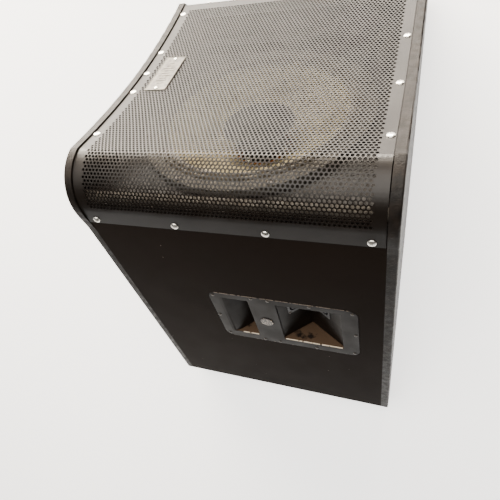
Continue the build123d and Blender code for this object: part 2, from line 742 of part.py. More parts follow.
def grip_outline():
    """Plan of the hand grip pocket: it rolls in from the left and is undercut behind the bar."""
    roll_end = (
        GRIP_LEFT + GRIP_ROLL_R * sin(GRIP_SLOPE),
        GRIP_ROLL_R * (1 - cos(GRIP_SLOPE)),
    )
    slope_run = (GRIP_DEPTH - roll_end[1]) / tan(GRIP_SLOPE)
    TangentArc((GRIP_LEFT, 0), roll_end, tangent=(1, 0))
    Polyline(
        roll_end,
        (roll_end[0] + slope_run, GRIP_DEPTH),
        (GRIP_UNDERCUT, GRIP_DEPTH),
        (GRIP_UNDERCUT, BAR_THICK),
        (GRIP_RIGHT, BAR_THICK),
        (GRIP_RIGHT, 0),
        (GRIP_LEFT, 0),
    )


def dish_outline():
    """Plan of the V-shaped connector pocket."""
    Polyline(
        (DISH_LEFT, 0),
        (DISH_LEFT, LIP),
        (DISH_APEX, DISH_DEPTH),
        (DISH_RIGHT, LIP),
        (DISH_RIGHT, 0),
        close=True,
    )


with BuildPart() as handle_plate:
    with BuildSketch(facing_rear(PLATE_X, 0, PLATE_Z)):
        RectangleRounded(PLATE_W, PLATE_H, PLATE_CORNER_R)
    extrude(amount=-PLATE_SHEET)
    for outline in (grip_outline, dish_outline):
        with BuildSketch(facing_grille(0, 0, POCKET_BOTTOM - CUP_WALL)):
            with BuildLine():
                outline()
            make_face()
            offset(amount=CUP_WALL, kind=Kind.INTERSECTION)
            with Locations((0, -CUP_WALL)):
                Rectangle(2 * WIDTH, 2 * CUP_WALL, mode=Mode.SUBTRACT)
        extrude(amount=POCKET_H + 2 * CUP_WALL)
    for outline in (grip_outline, dish_outline):
        with BuildSketch(facing_grille(0, 0, POCKET_BOTTOM)):
            with BuildLine():
                outline()
            make_face()
        extrude(amount=POCKET_H, mode=Mode.SUBTRACT)
    across = Axis(bench.origin, bench.x_dir)
    inward = Axis(bench.origin, bench.y_dir)
    mouth = handle_plate.faces().filter_by(inward).sort_by(inward)[0]
    lip_edges = ShapeList([edge for wire in mouth.inner_wires() for edge in wire.edges()])
    fillet(lip_edges.sort_by(across)[1:], LIP_R)
    drill(socket_spots, SOCKET_R + DRILL_CLEAR, 3 * CUP_WALL)
    for spot in socket_spots:
        drill(screw_pair(spot), SOCKET_SCREW_R + DRILL_CLEAR, 2 * CUP_WALL)
    drill(plate_spots, PLATE_SCREW_R + DRILL_CLEAR, PLATE_SHEET)
handle_plate.part.label = "handle_plate"
export_step(handle_plate.part, "parts/handle_plate.step")

gasket_land = REBATE - PLATE_SHEET
GASKET_INSET = 1.0
with BuildPart() as plate_gasket:
    with BuildSketch(facing_rear(PLATE_X, PLATE_SHEET, PLATE_Z)):
        RectangleRounded(
            PLATE_W - 2 * GASKET_INSET, PLATE_H - 2 * GASKET_INSET, PLATE_CORNER_R - GASKET_INSET
        )
        with Locations((window_x - PLATE_X, window_z - PLATE_Z)):
            Rectangle(WINDOW_RIGHT - WINDOW_LEFT, WINDOW_TOP - WINDOW_BOTTOM, mode=Mode.SUBTRACT)
    extrude(amount=-gasket_land)
    drill(plate_spots, PLATE_SCREW_R + DRILL_CLEAR, REBATE)
plate_gasket.part.label = "plate_gasket"
export_step(plate_gasket.part, "parts/plate_gasket.step")

PLATE_SCREW_HEAD_R = 3.2
plate_screws = screws(
    plate_spots, PLATE_SCREW_HEAD_R, SMALL_HEAD, PLATE_SCREW_R, PLATE_SCREW_LENGTH, SMALL_DOME
)
plate_screws.part.label = "plate_screws"
export_step(plate_screws.part, "parts/plate_screws.step")

# Round generic boss on the bar between the pockets
EMBLEM_R = 12.0
EMBLEM_T = 1.2
EMBLEM_BEVEL = 0.4
with BuildPart() as emblem:
    with BuildSketch(facing_rear((GRIP_RIGHT + DISH_LEFT) / 2, 0, PLATE_Z)):
        Circle(EMBLEM_R)
    extrude(amount=EMBLEM_T)
    chamfer(emblem.faces().sort_by(inward)[0].edges(), EMBLEM_BEVEL)
emblem.part.label = "emblem"
export_step(emblem.part, "parts/emblem.step")


def speaker_socket(spot):
    """Four-pole round speaker socket: flange, barrel behind the wall, post in the bore."""
    with BuildPart() as socket:
        with BuildSketch(spot):
            RectangleRounded(SOCKET_FLANGE_W, SOCKET_FLANGE_H, SOCKET_CORNER_R)
        extrude(amount=SOCKET_FLANGE)
        with BuildSketch(spot):
            Circle(SOCKET_R)
        extrude(amount=-SOCKET_DEPTH)
        with BuildSketch(spot.offset(SOCKET_FLANGE)):
            Circle(SOCKET_BORE_R)
            Circle(SOCKET_POST_R, mode=Mode.SUBTRACT)
        extrude(amount=-SOCKET_DEPTH + SOCKET_FLANGE, mode=Mode.SUBTRACT)
        drill(screw_pair(spot), SOCKET_SCREW_R + DRILL_CLEAR, SOCKET_FLANGE)
    return socket


socket_in = speaker_socket(socket_spots[0])
socket_in.part.label = "socket_in"
export_step(socket_in.part, "parts/socket_in.step")

socket_link = speaker_socket(socket_spots[1])
socket_link.part.label = "socket_link"
export_step(socket_link.part, "parts/socket_link.step")

socket_screws = screws(
    [face for spot in socket_spots for face in screw_pair(spot)],
    SOCKET_SCREW_HEAD_R,
    SMALL_HEAD,
    SOCKET_SCREW_R,
    SOCKET_SCREW_LENGTH,
    SMALL_DOME,
)
socket_screws.part.label = "socket_screws"
export_step(socket_screws.part, "parts/socket_screws.step")

# ---------------------------------------------------------------- feet
FOOT_TAPER = 4.0
with BuildPart() as rubber_feet:
    for spot in foot_spots:
        with BuildSketch(spot):
            Circle(FOOT_R)
        extrude(amount=FOOT_HEIGHT, taper=FOOT_TAPER)
    for spot in foot_spots:
        with BuildSketch(spot.offset(FOOT_HEIGHT - FOOT_RECESS)):
            Circle(FOOT_RECESS_R)
        extrude(amount=FOOT_RECESS, mode=Mode.SUBTRACT)
        with BuildSketch(spot):
            Circle(FOOT_SCREW_R + DRILL_CLEAR)
        extrude(amount=FOOT_HEIGHT, mode=Mode.SUBTRACT)
rubber_feet.part.label = "rubber_feet"
export_step(rubber_feet.part, "parts/rubber_feet.step")

foot_screws = screws(
    [spot.offset(FOOT_HEIGHT - FOOT_RECESS) for spot in foot_spots],
    FOOT_SCREW_HEAD_R,
    FOOT_SCREW_HEAD,
    FOOT_SCREW_R,
    FOOT_SCREW_LENGTH,
    FOOT_SCREW_HEAD / 2,
)
foot_screws.part.label = "foot_screws"
export_step(foot_screws.part, "parts/foot_screws.step")

# ---------------------------------------------------------------- driver
# Turned sections are drawn from the driver's axis outwards, heights from the baffle's front face
driver_section = facing_rear(0, DRIVER_INTO, BAFFLE_FRONT)
driver_axis = Axis(driver_section.origin, bench.z_dir)

FRAME_WALL = 4.0
FRAME_THROAT_R = 100.0                        # basket's inside at the rear ring
REAR_RING_R = 62.0
BASKET_TOP_R = DRIVER_HOLE_R - 1.5
ledge_low = -FRAME_DEPTH                      # rear ring's upper face
SPIDER_R = 92.0
SPIDER_LEDGE = 11.0                           # spider ledge above the rear ring
SPIDER_LEDGE_W = 25.0
SPIDER_LEDGE_LAP = 8.0                        # shift of the ledge towards the axis
SPIDER_LEDGE_SHEET = 3.0
WINDOW_COUNT = 8                              # openings between the basket's legs
OPENING_WIDE = 78.0
OPENING_LEG = 70.0
OPENING_ANGLE = 111.0
OPENING_TOP = BAFFLE_BOARD - 4.0              # under the baffle's front face
OPENING_LOW = ledge_low + SPIDER_LEDGE + 24.0
OPENING_SHIFT = 2.0                           # towards the axis
plate_top = ledge_low - FRAME_WALL            # top plate's upper face
plate_low = plate_top - TOP_PLATE
magnet_low = plate_low - MAGNET
back_low = magnet_low - BACK_PLATE


def turned(outline):
    """Solid of revolution about the driver's axis from straight-sided points (radius, height)."""
    with BuildPart() as piece:
        with BuildSketch(driver_section):
            with BuildLine():
                Polyline(*outline, close=True)
            make_face()
        revolve(axis=driver_axis)
    return piece


with BuildPart() as driver_frame:
    with BuildSketch(driver_section):
        with BuildLine():
            Polyline(
                (FRAME_LEDGE_R, FRAME_FLANGE),
                (FRAME_R, FRAME_FLANGE),
                (FRAME_R, 0),
                (BASKET_TOP_R, 0),
                (FRAME_THROAT_R + FRAME_WALL, ledge_low),
                (FRAME_THROAT_R + FRAME_WALL, plate_top),
                (REAR_RING_R, plate_top),
                (REAR_RING_R, ledge_low),
                (FRAME_THROAT_R, ledge_low),
                (BASKET_TOP_R - FRAME_WALL, 0),
                (FRAME_LEDGE_R, FRAME_FLANGE / 2),
                close=True,
            )
        make_face()
    revolve(axis=driver_axis)
    with BuildSketch(facing_grille(0, DRIVER_INTO, BAFFLE_FRONT - OPENING_TOP)):
        with PolarLocations((FRAME_LEDGE_R + FRAME_THROAT_R) / 2 - OPENING_SHIFT, WINDOW_COUNT):
            Trapezoid(OPENING_WIDE, OPENING_LEG, OPENING_ANGLE, rotation=-90)
    extrude(amount=OPENING_LOW, mode=Mode.SUBTRACT)
    ledge_middle = (
        SPIDER_R + SPIDER_LEDGE_W / 2 - SPIDER_LEDGE_LAP,
        ledge_low + SPIDER_LEDGE - SPIDER_LEDGE_SHEET / 2,
    )
    with BuildSketch(driver_section):
        with Locations(ledge_middle):
            Rectangle(SPIDER_LEDGE_W, SPIDER_LEDGE_SHEET)
    revolve(axis=driver_axis)
    drill(frame_spots, SCREW_SHANK_R + DRILL_CLEAR, 3 * GASKET + FRAME_FLANGE)
driver_frame.part.label = "driver_frame"
export_step(driver_frame.part, "parts/driver_frame.step")

# Surround: a flat rim on the front ring, a half roll, and a flat lap on the cone
ROLL_R = 8.0
ROLL_WALL = 1.0
CONE_LAP = 0.7 * ROLL_R                       # flat lap of the surround over the cone
ROLL_MIDDLE_R = CONE_R + 10.0
DEFORM_CLEAR = 0.3
rim_low = FRAME_FLANGE + 0.05
with BuildPart() as surround:
    with BuildSketch(driver_section):
        with BuildLine():
            ThreePointArc(
                (ROLL_MIDDLE_R - ROLL_R, rim_low + RIM),
                (ROLL_MIDDLE_R, rim_low + RIM + ROLL_R),
                (ROLL_MIDDLE_R + ROLL_R, rim_low + RIM),
            )
            Polyline(
                (ROLL_MIDDLE_R + ROLL_R, rim_low + RIM),
                (ROLL_MIDDLE_R + 2 * ROLL_R, rim_low + RIM),
                (ROLL_MIDDLE_R + 2 * ROLL_R, rim_low),
                (ROLL_MIDDLE_R + ROLL_R - ROLL_WALL, rim_low),
            )
            ThreePointArc(
                (ROLL_MIDDLE_R + ROLL_R - ROLL_WALL, rim_low),
                (ROLL_MIDDLE_R, rim_low + ROLL_R),
                (ROLL_MIDDLE_R - ROLL_R + ROLL_WALL, rim_low),
            )
            Polyline(
                (ROLL_MIDDLE_R - ROLL_R + ROLL_WALL, rim_low),
                (ROLL_MIDDLE_R - ROLL_R - CONE_LAP, rim_low),
                (ROLL_MIDDLE_R - ROLL_R - CONE_LAP, rim_low + RIM),
                (ROLL_MIDDLE_R - ROLL_R, rim_low + RIM),
            )
        make_face()
    revolve(axis=driver_axis)
surround.part.label = "surround"
export_step(surround.part, "parts/surround.step")

# Ring over the surround's rim, which the frame screws hold down
FIT = 0.05
gasket_bore = FRAME_LEDGE_R + 1.0
rim_edge = ROLL_MIDDLE_R + 2 * ROLL_R + FIT
rim_cover = rim_low + RIM + FIT
with BuildPart() as gasket_ring:
    with BuildSketch(driver_section):
        with BuildLine():
            Polyline(
                (gasket_bore, rim_cover),
                (rim_edge, rim_cover),
                (rim_edge, FRAME_FLANGE),
                (FRAME_R, FRAME_FLANGE),
                (FRAME_R, gasket_top),
                (gasket_bore, gasket_top),
                close=True,
            )
        make_face()
    revolve(axis=driver_axis)
    drill(frame_spots, SCREW_SHANK_R + DRILL_CLEAR, 2 * GASKET)
gasket_ring.part.label = "gasket_ring"
export_step(gasket_ring.part, "parts/gasket_ring.step")

FRAME_SCREW_HEAD_R = 5.5
FRAME_SCREW_HEAD = 3.0
FRAME_SCREW_DOME = 1.6
frame_screws = screws(
    frame_spots,
    FRAME_SCREW_HEAD_R,
    FRAME_SCREW_HEAD,
    SCREW_SHANK_R,
    FRAME_SCREW_LENGTH,
    FRAME_SCREW_DOME,
)
frame_screws.part.label = "frame_screws"
export_step(frame_screws.part, "parts/frame_screws.step")

# Cone: a curved paper and fibre shell from the coil's neck to the surround
CONE_WALL = 1.2
NECK_R = COIL_R + 0.1
NECK_RISE = 30.0                              # cone's neck over the top plate
neck_height = plate_top + NECK_RISE
edge_height = rim_low - DEFORM_CLEAR
cone_bow = (NECK_R + (CONE_R - NECK_R) * 0.45, neck_height + (edge_height - neck_height) * 0.4)
with BuildPart() as cone:
    with BuildSketch(driver_section):
        with BuildLine():
            ThreePointArc((NECK_R, neck_height), cone_bow, (CONE_R, edge_height))
            Line((CONE_R, edge_height), (CONE_R, edge_height - CONE_WALL))
            ThreePointArc(
                (CONE_R, edge_height - CONE_WALL),
                (cone_bow[0] + 0.7 * CONE_WALL, cone_bow[1] - 0.9 * CONE_WALL),
                (NECK_R, neck_height - 1.5 * CONE_WALL),
            )
            Line((NECK_R, neck_height - 1.5 * CONE_WALL), (NECK_R, neck_height))
        make_face()
    revolve(axis=driver_axis)
cone.part.label = "cone"
export_step(cone.part, "parts/cone.step")

FORMER_LENGTH = 50.0
WINDING_LENGTH = 20.0
FORMER_PROUD = 2.0                            # former beyond the cone's neck
former_top = neck_height + FORMER_PROUD
former = turned(
    [
        (COIL_R - FORMER_WALL, former_top - FORMER_LENGTH),
        (COIL_R, former_top - FORMER_LENGTH),
        (COIL_R, former_top),
        (COIL_R - FORMER_WALL, former_top),
    ]
)
former.part.label = "coil_former"
export_step(former.part, "parts/coil_former.step")

winding_middle = (plate_top + plate_low) / 2
voice_coil = turned(
    [
        (COIL_R + FIT, winding_middle - WINDING_LENGTH / 2),
        (COIL_R + FIT + WINDING, winding_middle - WINDING_LENGTH / 2),
        (COIL_R + FIT + WINDING, winding_middle + WINDING_LENGTH / 2),
        (COIL_R + FIT, winding_middle + WINDING_LENGTH / 2),
    ]
)
voice_coil.part.label = "voice_coil"
export_step(voice_coil.part, "parts/voice_coil.step")

SPIDER_WALL = 0.8
ledge_top = ledge_low + SPIDER_LEDGE
spider = turned(
    [
        (COIL_R + DEFORM_CLEAR, ledge_top + DEFORM_CLEAR),
        (SPIDER_R, ledge_top + DEFORM_CLEAR),
        (SPIDER_R, ledge_top + DEFORM_CLEAR + SPIDER_WALL),
        (COIL_R + DEFORM_CLEAR, ledge_top + DEFORM_CLEAR + SPIDER_WALL),
    ]
)
spider.part.label = "spider"
export_step(spider.part, "parts/spider.step")

# Magnet system: top plate, ring magnet, back plate with a hollow pole piece
GAP_OUTER_R = COIL_R + FIT + WINDING + GAP_CLEARANCE
POLE_R = COIL_R - FORMER_WALL - GAP_CLEARANCE
POLE_BORE_R = 32.0
MAGNET_BORE_R = GAP_OUTER_R + 8.0
TOP_PLATE_R = MAGNET_R - 8.0
BACK_PLATE_R = MAGNET_R - 5.0
top_plate = turned(
    [
        (GAP_OUTER_R, plate_top),
        (TOP_PLATE_R, plate_top),
        (TOP_PLATE_R, plate_low),
        (GAP_OUTER_R, plate_low),
    ]
)
top_plate.part.label = "top_plate"
export_step(top_plate.part, "parts/top_plate.step")

magnet = turned(
    [
        (MAGNET_BORE_R, plate_low),
        (MAGNET_R, plate_low),
        (MAGNET_R, magnet_low),
        (MAGNET_BORE_R, magnet_low),
    ]
)
magnet.part.label = "magnet"
export_step(magnet.part, "parts/magnet.step")

back_plate = turned(
    [
        (POLE_BORE_R, plate_top),
        (POLE_R, plate_top),
        (POLE_R, magnet_low),
        (BACK_PLATE_R, magnet_low),
        (BACK_PLATE_R, back_low),
        (POLE_BORE_R, back_low),
    ]
)
back_plate.part.label = "back_plate"
export_step(back_plate.part, "parts/back_plate.step")

# High frequency horn through the pole piece, its mouth in the middle of the cone
THROAT_R = 16.0
HORN_WAIST_R = 24.0
HORN_MIDDLE_R = 34.0
HORN_MOUTH_R = 60.0
HORN_WALL = 2.5
horn_mouth = -14.0
horn_sleeve = plate_top + 2.0
horn_middle = (horn_mouth + horn_sleeve) / 2
SLEEVE_R = POLE_BORE_R - 0.2
with BuildPart() as horn:
    with BuildSketch(driver_section):
        with BuildLine():
            Spline(
                (THROAT_R, back_low),
                (HORN_WAIST_R, plate_top),
                (HORN_MIDDLE_R, horn_middle),
                (HORN_MOUTH_R, horn_mouth),
            )
            Line((HORN_MOUTH_R, horn_mouth), (HORN_MOUTH_R + HORN_WALL, horn_mouth))
            Spline(
                (HORN_MOUTH_R + HORN_WALL, horn_mouth),
                (HORN_MIDDLE_R + HORN_WALL + 2, horn_middle),
                (SLEEVE_R, horn_sleeve),
            )
            Polyline((SLEEVE_R, horn_sleeve), (SLEEVE_R, back_low), (THROAT_R, back_low))
        make_face()
    revolve(axis=driver_axis)
horn.part.label = "hf_horn"
export_step(horn.part, "parts/hf_horn.step")

# Compression driver behind the back plate
HF_R = 50.0
HF_COIL_R = 25.0
HF_POLE_R = 24.0
HF_EXIT_R = 12.5
HF_PLATE = 6.0
HF_MAGNET = 14.0
HF_MAGNET_R = 52.0
HF_MAGNET_BORE_R = 30.0
HF_GAP_R = HF_COIL_R + 1.2                    # top plate's bore, round the coil
HF_RIM_R = HF_R - 5.0                         # suspension, outside
HF_RIM_BORE_R = HF_COIL_R + 0.7
HF_SKIRT = 3.0                                # former of the dome over the top plate
hf_front = back_low - HF_PLATE
hf_magnet_low = hf_front - HF_MAGNET
hf_top = hf_magnet_low - HF_PLATE
hf_yoke = turned(
    [
        (THROAT_R, back_low),
        (HF_R, back_low),
        (HF_R, hf_front),
        (HF_POLE_R, hf_front),
        (HF_POLE_R, hf_top),
        (HF_EXIT_R, hf_top),
    ]
)
hf_yoke.part.label = "hf_yoke"
export_step(hf_yoke.part, "parts/hf_yoke.step")

hf_magnet = turned(
    [
        (HF_MAGNET_BORE_R, hf_front),
        (HF_MAGNET_R, hf_front),
        (HF_MAGNET_R, hf_magnet_low),
        (HF_MAGNET_BORE_R, hf_magnet_low),
    ]
)
hf_magnet.part.label = "hf_magnet"
export_step(hf_magnet.part, "parts/hf_magnet.step")

hf_top_plate = turned(
    [
        (HF_GAP_R, hf_magnet_low),
        (HF_R, hf_magnet_low),
        (HF_R, hf_top),
        (HF_GAP_R, hf_top),
    ]
)
hf_top_plate.part.label = "hf_top_plate"
export_step(hf_top_plate.part, "parts/hf_top_plate.step")

HF_RING_R = 38.0
HF_RING = 5.0
HF_RING_OUTER_R = HF_R - 4.0
HF_RING_AIR = 0.2                             # ring to suspension
hf_ring_low = hf_top - HF_RING
hf_ring = turned(
    [
        (HF_RING_R, hf_top),
        (HF_RING_OUTER_R, hf_top),
        (HF_RING_OUTER_R, hf_ring_low),
        (HF_RING_R, hf_ring_low),
    ]
)
hf_ring.part.label = "hf_mount_ring"
export_step(hf_ring.part, "parts/hf_mount_ring.step")

HF_FOIL = 0.4
hf_rim = hf_ring_low - HF_RING_AIR
hf_suspension = turned(
    [
        (HF_RIM_BORE_R, hf_rim - HF_FOIL),
        (HF_RIM_R, hf_rim - HF_FOIL),
        (HF_RIM_R, hf_rim),
        (HF_RIM_BORE_R, hf_rim),
    ]
)
hf_suspension.part.label = "hf_suspension"
export_step(hf_suspension.part, "parts/hf_suspension.step")

HF_DOME = 8.0                                 # rise of the dome inside
dome_edge = HF_COIL_R - HF_FOIL
dome_r = (dome_edge**2 + HF_DOME**2) / (2 * HF_DOME)
dome_middle = hf_rim - HF_DOME + dome_r       # height of the dome's centre


def on_dome(radius, reach):
    """Point of a dome surface at a distance from the axis."""
    return (reach, dome_middle - sqrt(radius**2 - reach**2))


with BuildPart() as hf_diaphragm:
    with BuildSketch(driver_section):
        with BuildLine():
            Polyline(
                on_dome(dome_r + HF_FOIL, HF_COIL_R),
                (HF_COIL_R, hf_top + HF_SKIRT),
                (dome_edge, hf_top + HF_SKIRT),
                on_dome(dome_r, dome_edge),
            )
            ThreePointArc(
                on_dome(dome_r, dome_edge), on_dome(dome_r, dome_edge / 2), on_dome(dome_r, 0)
            )
            Line(on_dome(dome_r, 0), on_dome(dome_r + HF_FOIL, 0))
            ThreePointArc(
                on_dome(dome_r + HF_FOIL, 0),
                on_dome(dome_r + HF_FOIL, HF_COIL_R / 2),
                on_dome(dome_r + HF_FOIL, HF_COIL_R),
            )
        make_face()
    revolve(axis=driver_axis)
hf_diaphragm.part.label = "hf_diaphragm"
export_step(hf_diaphragm.part, "parts/hf_diaphragm.step")

HF_CAP_WALL = 3.0
HF_CAP_DEPTH = 22.0
cap_low = hf_top - HF_CAP_DEPTH
hf_back_cap = turned(
    [
        (HF_R - HF_CAP_WALL, hf_top),
        (HF_R, hf_top),
        (HF_R, cap_low),
        (0, cap_low),
        (0, cap_low + HF_CAP_WALL),
        (HF_R - HF_CAP_WALL, cap_low + HF_CAP_WALL),
    ]
)
hf_back_cap.part.label = "hf_back_cap"
export_step(hf_back_cap.part, "parts/hf_back_cap.step")

# Terminal block on the back plate, beside the compression driver
TERMINAL_X = 78.0
TERMINAL_H = 8.0
TERMINAL_W = 22.0
TERMINAL_L = 40.0
TERMINAL_CORNER_R = 3.0
TAB_H = 7.0
TAB_T = 0.8
TAB_W = 6.3
TAB_PITCH = 18.0
terminal_spot = facing_grille(TERMINAL_X, DRIVER_INTO, BAFFLE_FRONT + back_low - TERMINAL_H)
with BuildPart() as driver_terminals:
    with BuildSketch(terminal_spot):
        RectangleRounded(TERMINAL_W, TERMINAL_L, TERMINAL_CORNER_R)
    extrude(amount=TERMINAL_H)
    with BuildSketch(terminal_spot):
        with GridLocations(0, TAB_PITCH, 1, 2):
            Rectangle(TAB_T, TAB_W)
    extrude(amount=-TAB_H)
driver_terminals.part.label = "driver_terminals"
export_step(driver_terminals.part, "parts/driver_terminals.step")

# ---------------------------------------------------------------- crossover
board_bottom = board_top - BOARD_SHEET
with BuildPart() as crossover_board:
    with BuildSketch(on_base(BOARD_X, BOARD_ALONG, board_bottom)):
        Rectangle(BOARD_W, BOARD_D)
    extrude(amount=BOARD_SHEET)
    drill(board_spots, BOARD_SCREW_R + DRILL_CLEAR, 2 * BOARD_SHEET)
crossover_board.part.label = "crossover_board"
export_step(crossover_board.part, "parts/crossover_board.step")

SPACER_R = 4.0
with BuildPart() as board_spacers:
    for spot in board_spots:
        with BuildSketch(spot.offset(-BOARD_SHEET)):
            Circle(SPACER_R)
            Circle(BOARD_SCREW_R + DRILL_CLEAR, mode=Mode.SUBTRACT)
        extrude(amount=-BOARD_STANDOFF)
board_spacers.part.label = "board_spacers"
export_step(board_spacers.part, "parts/board_spacers.step")

board_screws = screws(
    board_spots, BOARD_SCREW_HEAD_R, BOARD_SCREW_HEAD, BOARD_SCREW_R, BOARD_SCREW_LENGTH, BOARD_SCREW_DOME
)
board_screws.part.label = "board_screws"
export_step(board_screws.part, "parts/board_screws.step")

COIL_OUTER_R = 26.0
COIL_INNER_R = 11.0
COIL_HEIGHT = 26.0
COIL_PLACES = ((-38, -18), (30, 22))          # on the board, from its middle
with BuildPart() as inductors:
    with BuildSketch(on_base(BOARD_X, BOARD_ALONG, board_top)):
        with Locations(*COIL_PLACES):
            Circle(COIL_OUTER_R)
            Circle(COIL_INNER_R, mode=Mode.SUBTRACT)
    extrude(amount=COIL_HEIGHT)
inductors.part.label = "inductors"
export_step(inductors.part, "parts/inductors.step")

CAN_R = 10.0
CAN_H = 30.0
CAN_ROUND = 2.0
CAN_PLACES = ((14, -30), (38, -30), (-20, 36))
with BuildPart() as capacitors:
    with BuildSketch(on_base(BOARD_X, BOARD_ALONG, board_top)):
        with Locations(*CAN_PLACES):
            Circle(CAN_R)
    extrude(amount=CAN_H)
    fillet(capacitors.faces().sort_by(Axis.Z)[-1].edges(), CAN_ROUND)
capacitors.part.label = "capacitors"
export_step(capacitors.part, "parts/capacitors.step")

RESISTOR_L = 32.0
RESISTOR_W = 9.0
RESISTOR_PLACES = ((-50, 24), (-50, 38))
with BuildPart() as resistors:
    with BuildSketch(on_base(BOARD_X, BOARD_ALONG, board_top)):
        with Locations(*RESISTOR_PLACES):
            Rectangle(RESISTOR_L, RESISTOR_W)
    extrude(amount=RESISTOR_W)
resistors.part.label = "resistors"
export_step(resistors.part, "parts/resistors.step")
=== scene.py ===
# %% [markdown]
# # A stage monitor wedge
# A floor loudspeaker for performers. A plywood box carries a 15 inch coaxial driver behind a perforated
# steel grille. The grille wraps over a rounded nose and is screwed to the rear panel. A moulded plate on
# the rear panel holds a hand grip and a connector pocket.
# The engineering model comes in first as a fixed frame. Everything made here is placed from it.

# %% Load the fixed frame
import json
from math import atan2, ceil, copysign, cos, hypot, pi, radians, sin, sqrt

import bmesh
import bpy
import numpy as np
from mathutils import Matrix, Vector, noise


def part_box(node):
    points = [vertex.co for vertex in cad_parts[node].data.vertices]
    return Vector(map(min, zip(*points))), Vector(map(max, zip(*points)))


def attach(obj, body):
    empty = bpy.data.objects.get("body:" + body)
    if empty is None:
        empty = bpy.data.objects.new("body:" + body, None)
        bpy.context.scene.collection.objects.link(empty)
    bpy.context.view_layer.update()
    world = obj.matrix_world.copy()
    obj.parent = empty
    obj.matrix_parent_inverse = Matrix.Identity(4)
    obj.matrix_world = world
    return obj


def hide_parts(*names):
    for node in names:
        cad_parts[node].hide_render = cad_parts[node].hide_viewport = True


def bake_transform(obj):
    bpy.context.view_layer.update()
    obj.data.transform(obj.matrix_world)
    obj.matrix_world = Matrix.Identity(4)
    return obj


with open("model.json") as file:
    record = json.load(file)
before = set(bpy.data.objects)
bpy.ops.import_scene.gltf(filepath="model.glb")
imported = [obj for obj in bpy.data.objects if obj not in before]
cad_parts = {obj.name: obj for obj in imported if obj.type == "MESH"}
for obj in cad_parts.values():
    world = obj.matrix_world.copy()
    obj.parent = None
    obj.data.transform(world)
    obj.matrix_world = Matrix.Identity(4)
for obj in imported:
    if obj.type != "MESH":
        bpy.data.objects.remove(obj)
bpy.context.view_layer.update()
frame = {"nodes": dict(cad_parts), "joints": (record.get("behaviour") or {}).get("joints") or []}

nodes = frame["nodes"]

# %% [markdown]
# ## Bench directions
# The cabinet is easiest to describe with its rear panel lying flat on a bench: x across the cabinet,
# y into it, z up the rear panel towards the grille. One plane of the frame fixes these directions. The
# upright heel edge of the cheeks gives their place, and the tilt is the angle at which the wedge stands.

# %% Bench directions
MM = 0.001
TILT = radians(51.4)            # grille to floor
PANEL_HEIGHT = 554 * MM         # rear panel, from its lower corner to the grille's lower edge
HEEL_HEIGHT = 50 * MM

BENCH_X = Vector((-1, 0, 0))
BENCH_Y = Vector((0, -cos(TILT), -sin(TILT)))
BENCH_Z = Vector((0, -sin(TILT), cos(TILT)))
cheek_low, cheek_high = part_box("left_cheek")
heel_top = Vector((0, cheek_high.y, cheek_low.z + HEEL_HEIGHT))
bench_origin = heel_top + BENCH_Z * PANEL_HEIGHT


def bench(x, y, z):
    """Point in the frame from millimetres across, into the cabinet and up the rear panel."""
    return bench_origin + (BENCH_X * x + BENCH_Y * y + BENCH_Z * z) * MM


print("bench origin", [round(x, 4) for x in bench_origin])

# %% [markdown]
# ## Camera, floor and light
# The wedge is seen from above its rear panel, with the rounded nose nearest. A long soft panel of light
# stands low on the grille's side. The slope mirrors it, so the steel looks pale there, while the rear
# panel, which faces away from it, stays nearly black. The floor is a plain pale sheet.

# %% Camera
CAMERA_PLACE = Vector((-0.2616, -0.1253, 0.9746))
CAMERA_LOOKS = Vector((0.3431, 0.2253, -0.9119))
CAMERA_UP = Vector((0.0945, -0.9742, -0.2051))
LENS = 31.26                    # mm
SENSOR_WIDTH = 36.0

camera_data = bpy.data.cameras.new("camera")
camera_data.lens = LENS
camera_data.sensor_width = SENSOR_WIDTH
camera = bpy.data.objects.new("camera", camera_data)
across = CAMERA_LOOKS.cross(CAMERA_UP).normalized()
upward = across.cross(CAMERA_LOOKS).normalized()
turn = Matrix((across, upward, -CAMERA_LOOKS.normalized())).transposed().to_4x4()
camera.matrix_world = Matrix.Translation(CAMERA_PLACE) @ turn
bpy.context.scene.collection.objects.link(camera)
bpy.context.scene.camera = camera


# %% Nodes and colours
def add_node(tree, kind, inputs=None, **settings):
    """Adds a node, applies its settings, and gives its inputs values or links."""
    node = tree.nodes.new(kind)
    for name, value in settings.items():
        setattr(node, name, value)
    for socket, value in (inputs or {}).items():
        if isinstance(value, bpy.types.NodeSocket):
            tree.links.new(value, node.inputs[socket])
        else:
            node.inputs[socket].default_value = value
    return node


def to_linear(colour):
    """sRGB hex such as '#8a7f70' as the linear colour that a shader reads."""
    parts = [int(colour[i : i + 2], 16) / 255 for i in (1, 3, 5)]
    return [c / 12.92 if c <= 0.04045 else ((c + 0.055) / 1.055) ** 2.4 for c in parts] + [1.0]


def start_material(name, colour, roughness, metallic=0.0, ior=1.5):
    """A material with one principled shader, and the Object coordinates that its patterns read."""
    material = bpy.data.materials.new(name)
    material.use_nodes = True
    tree = material.node_tree
    shader = tree.nodes["Principled BSDF"]
    shader.inputs["Base Color"].default_value = to_linear(colour)
    shader.inputs["Roughness"].default_value = roughness
    shader.inputs["Metallic"].default_value = metallic
    shader.inputs["IOR"].default_value = ior
    place = add_node(tree, "ShaderNodeTexCoord").outputs["Object"]
    return material, tree, shader, place


def painted(obj, material):
    """Gives an object one material."""
    obj.data.materials.clear()
    obj.data.materials.append(material)


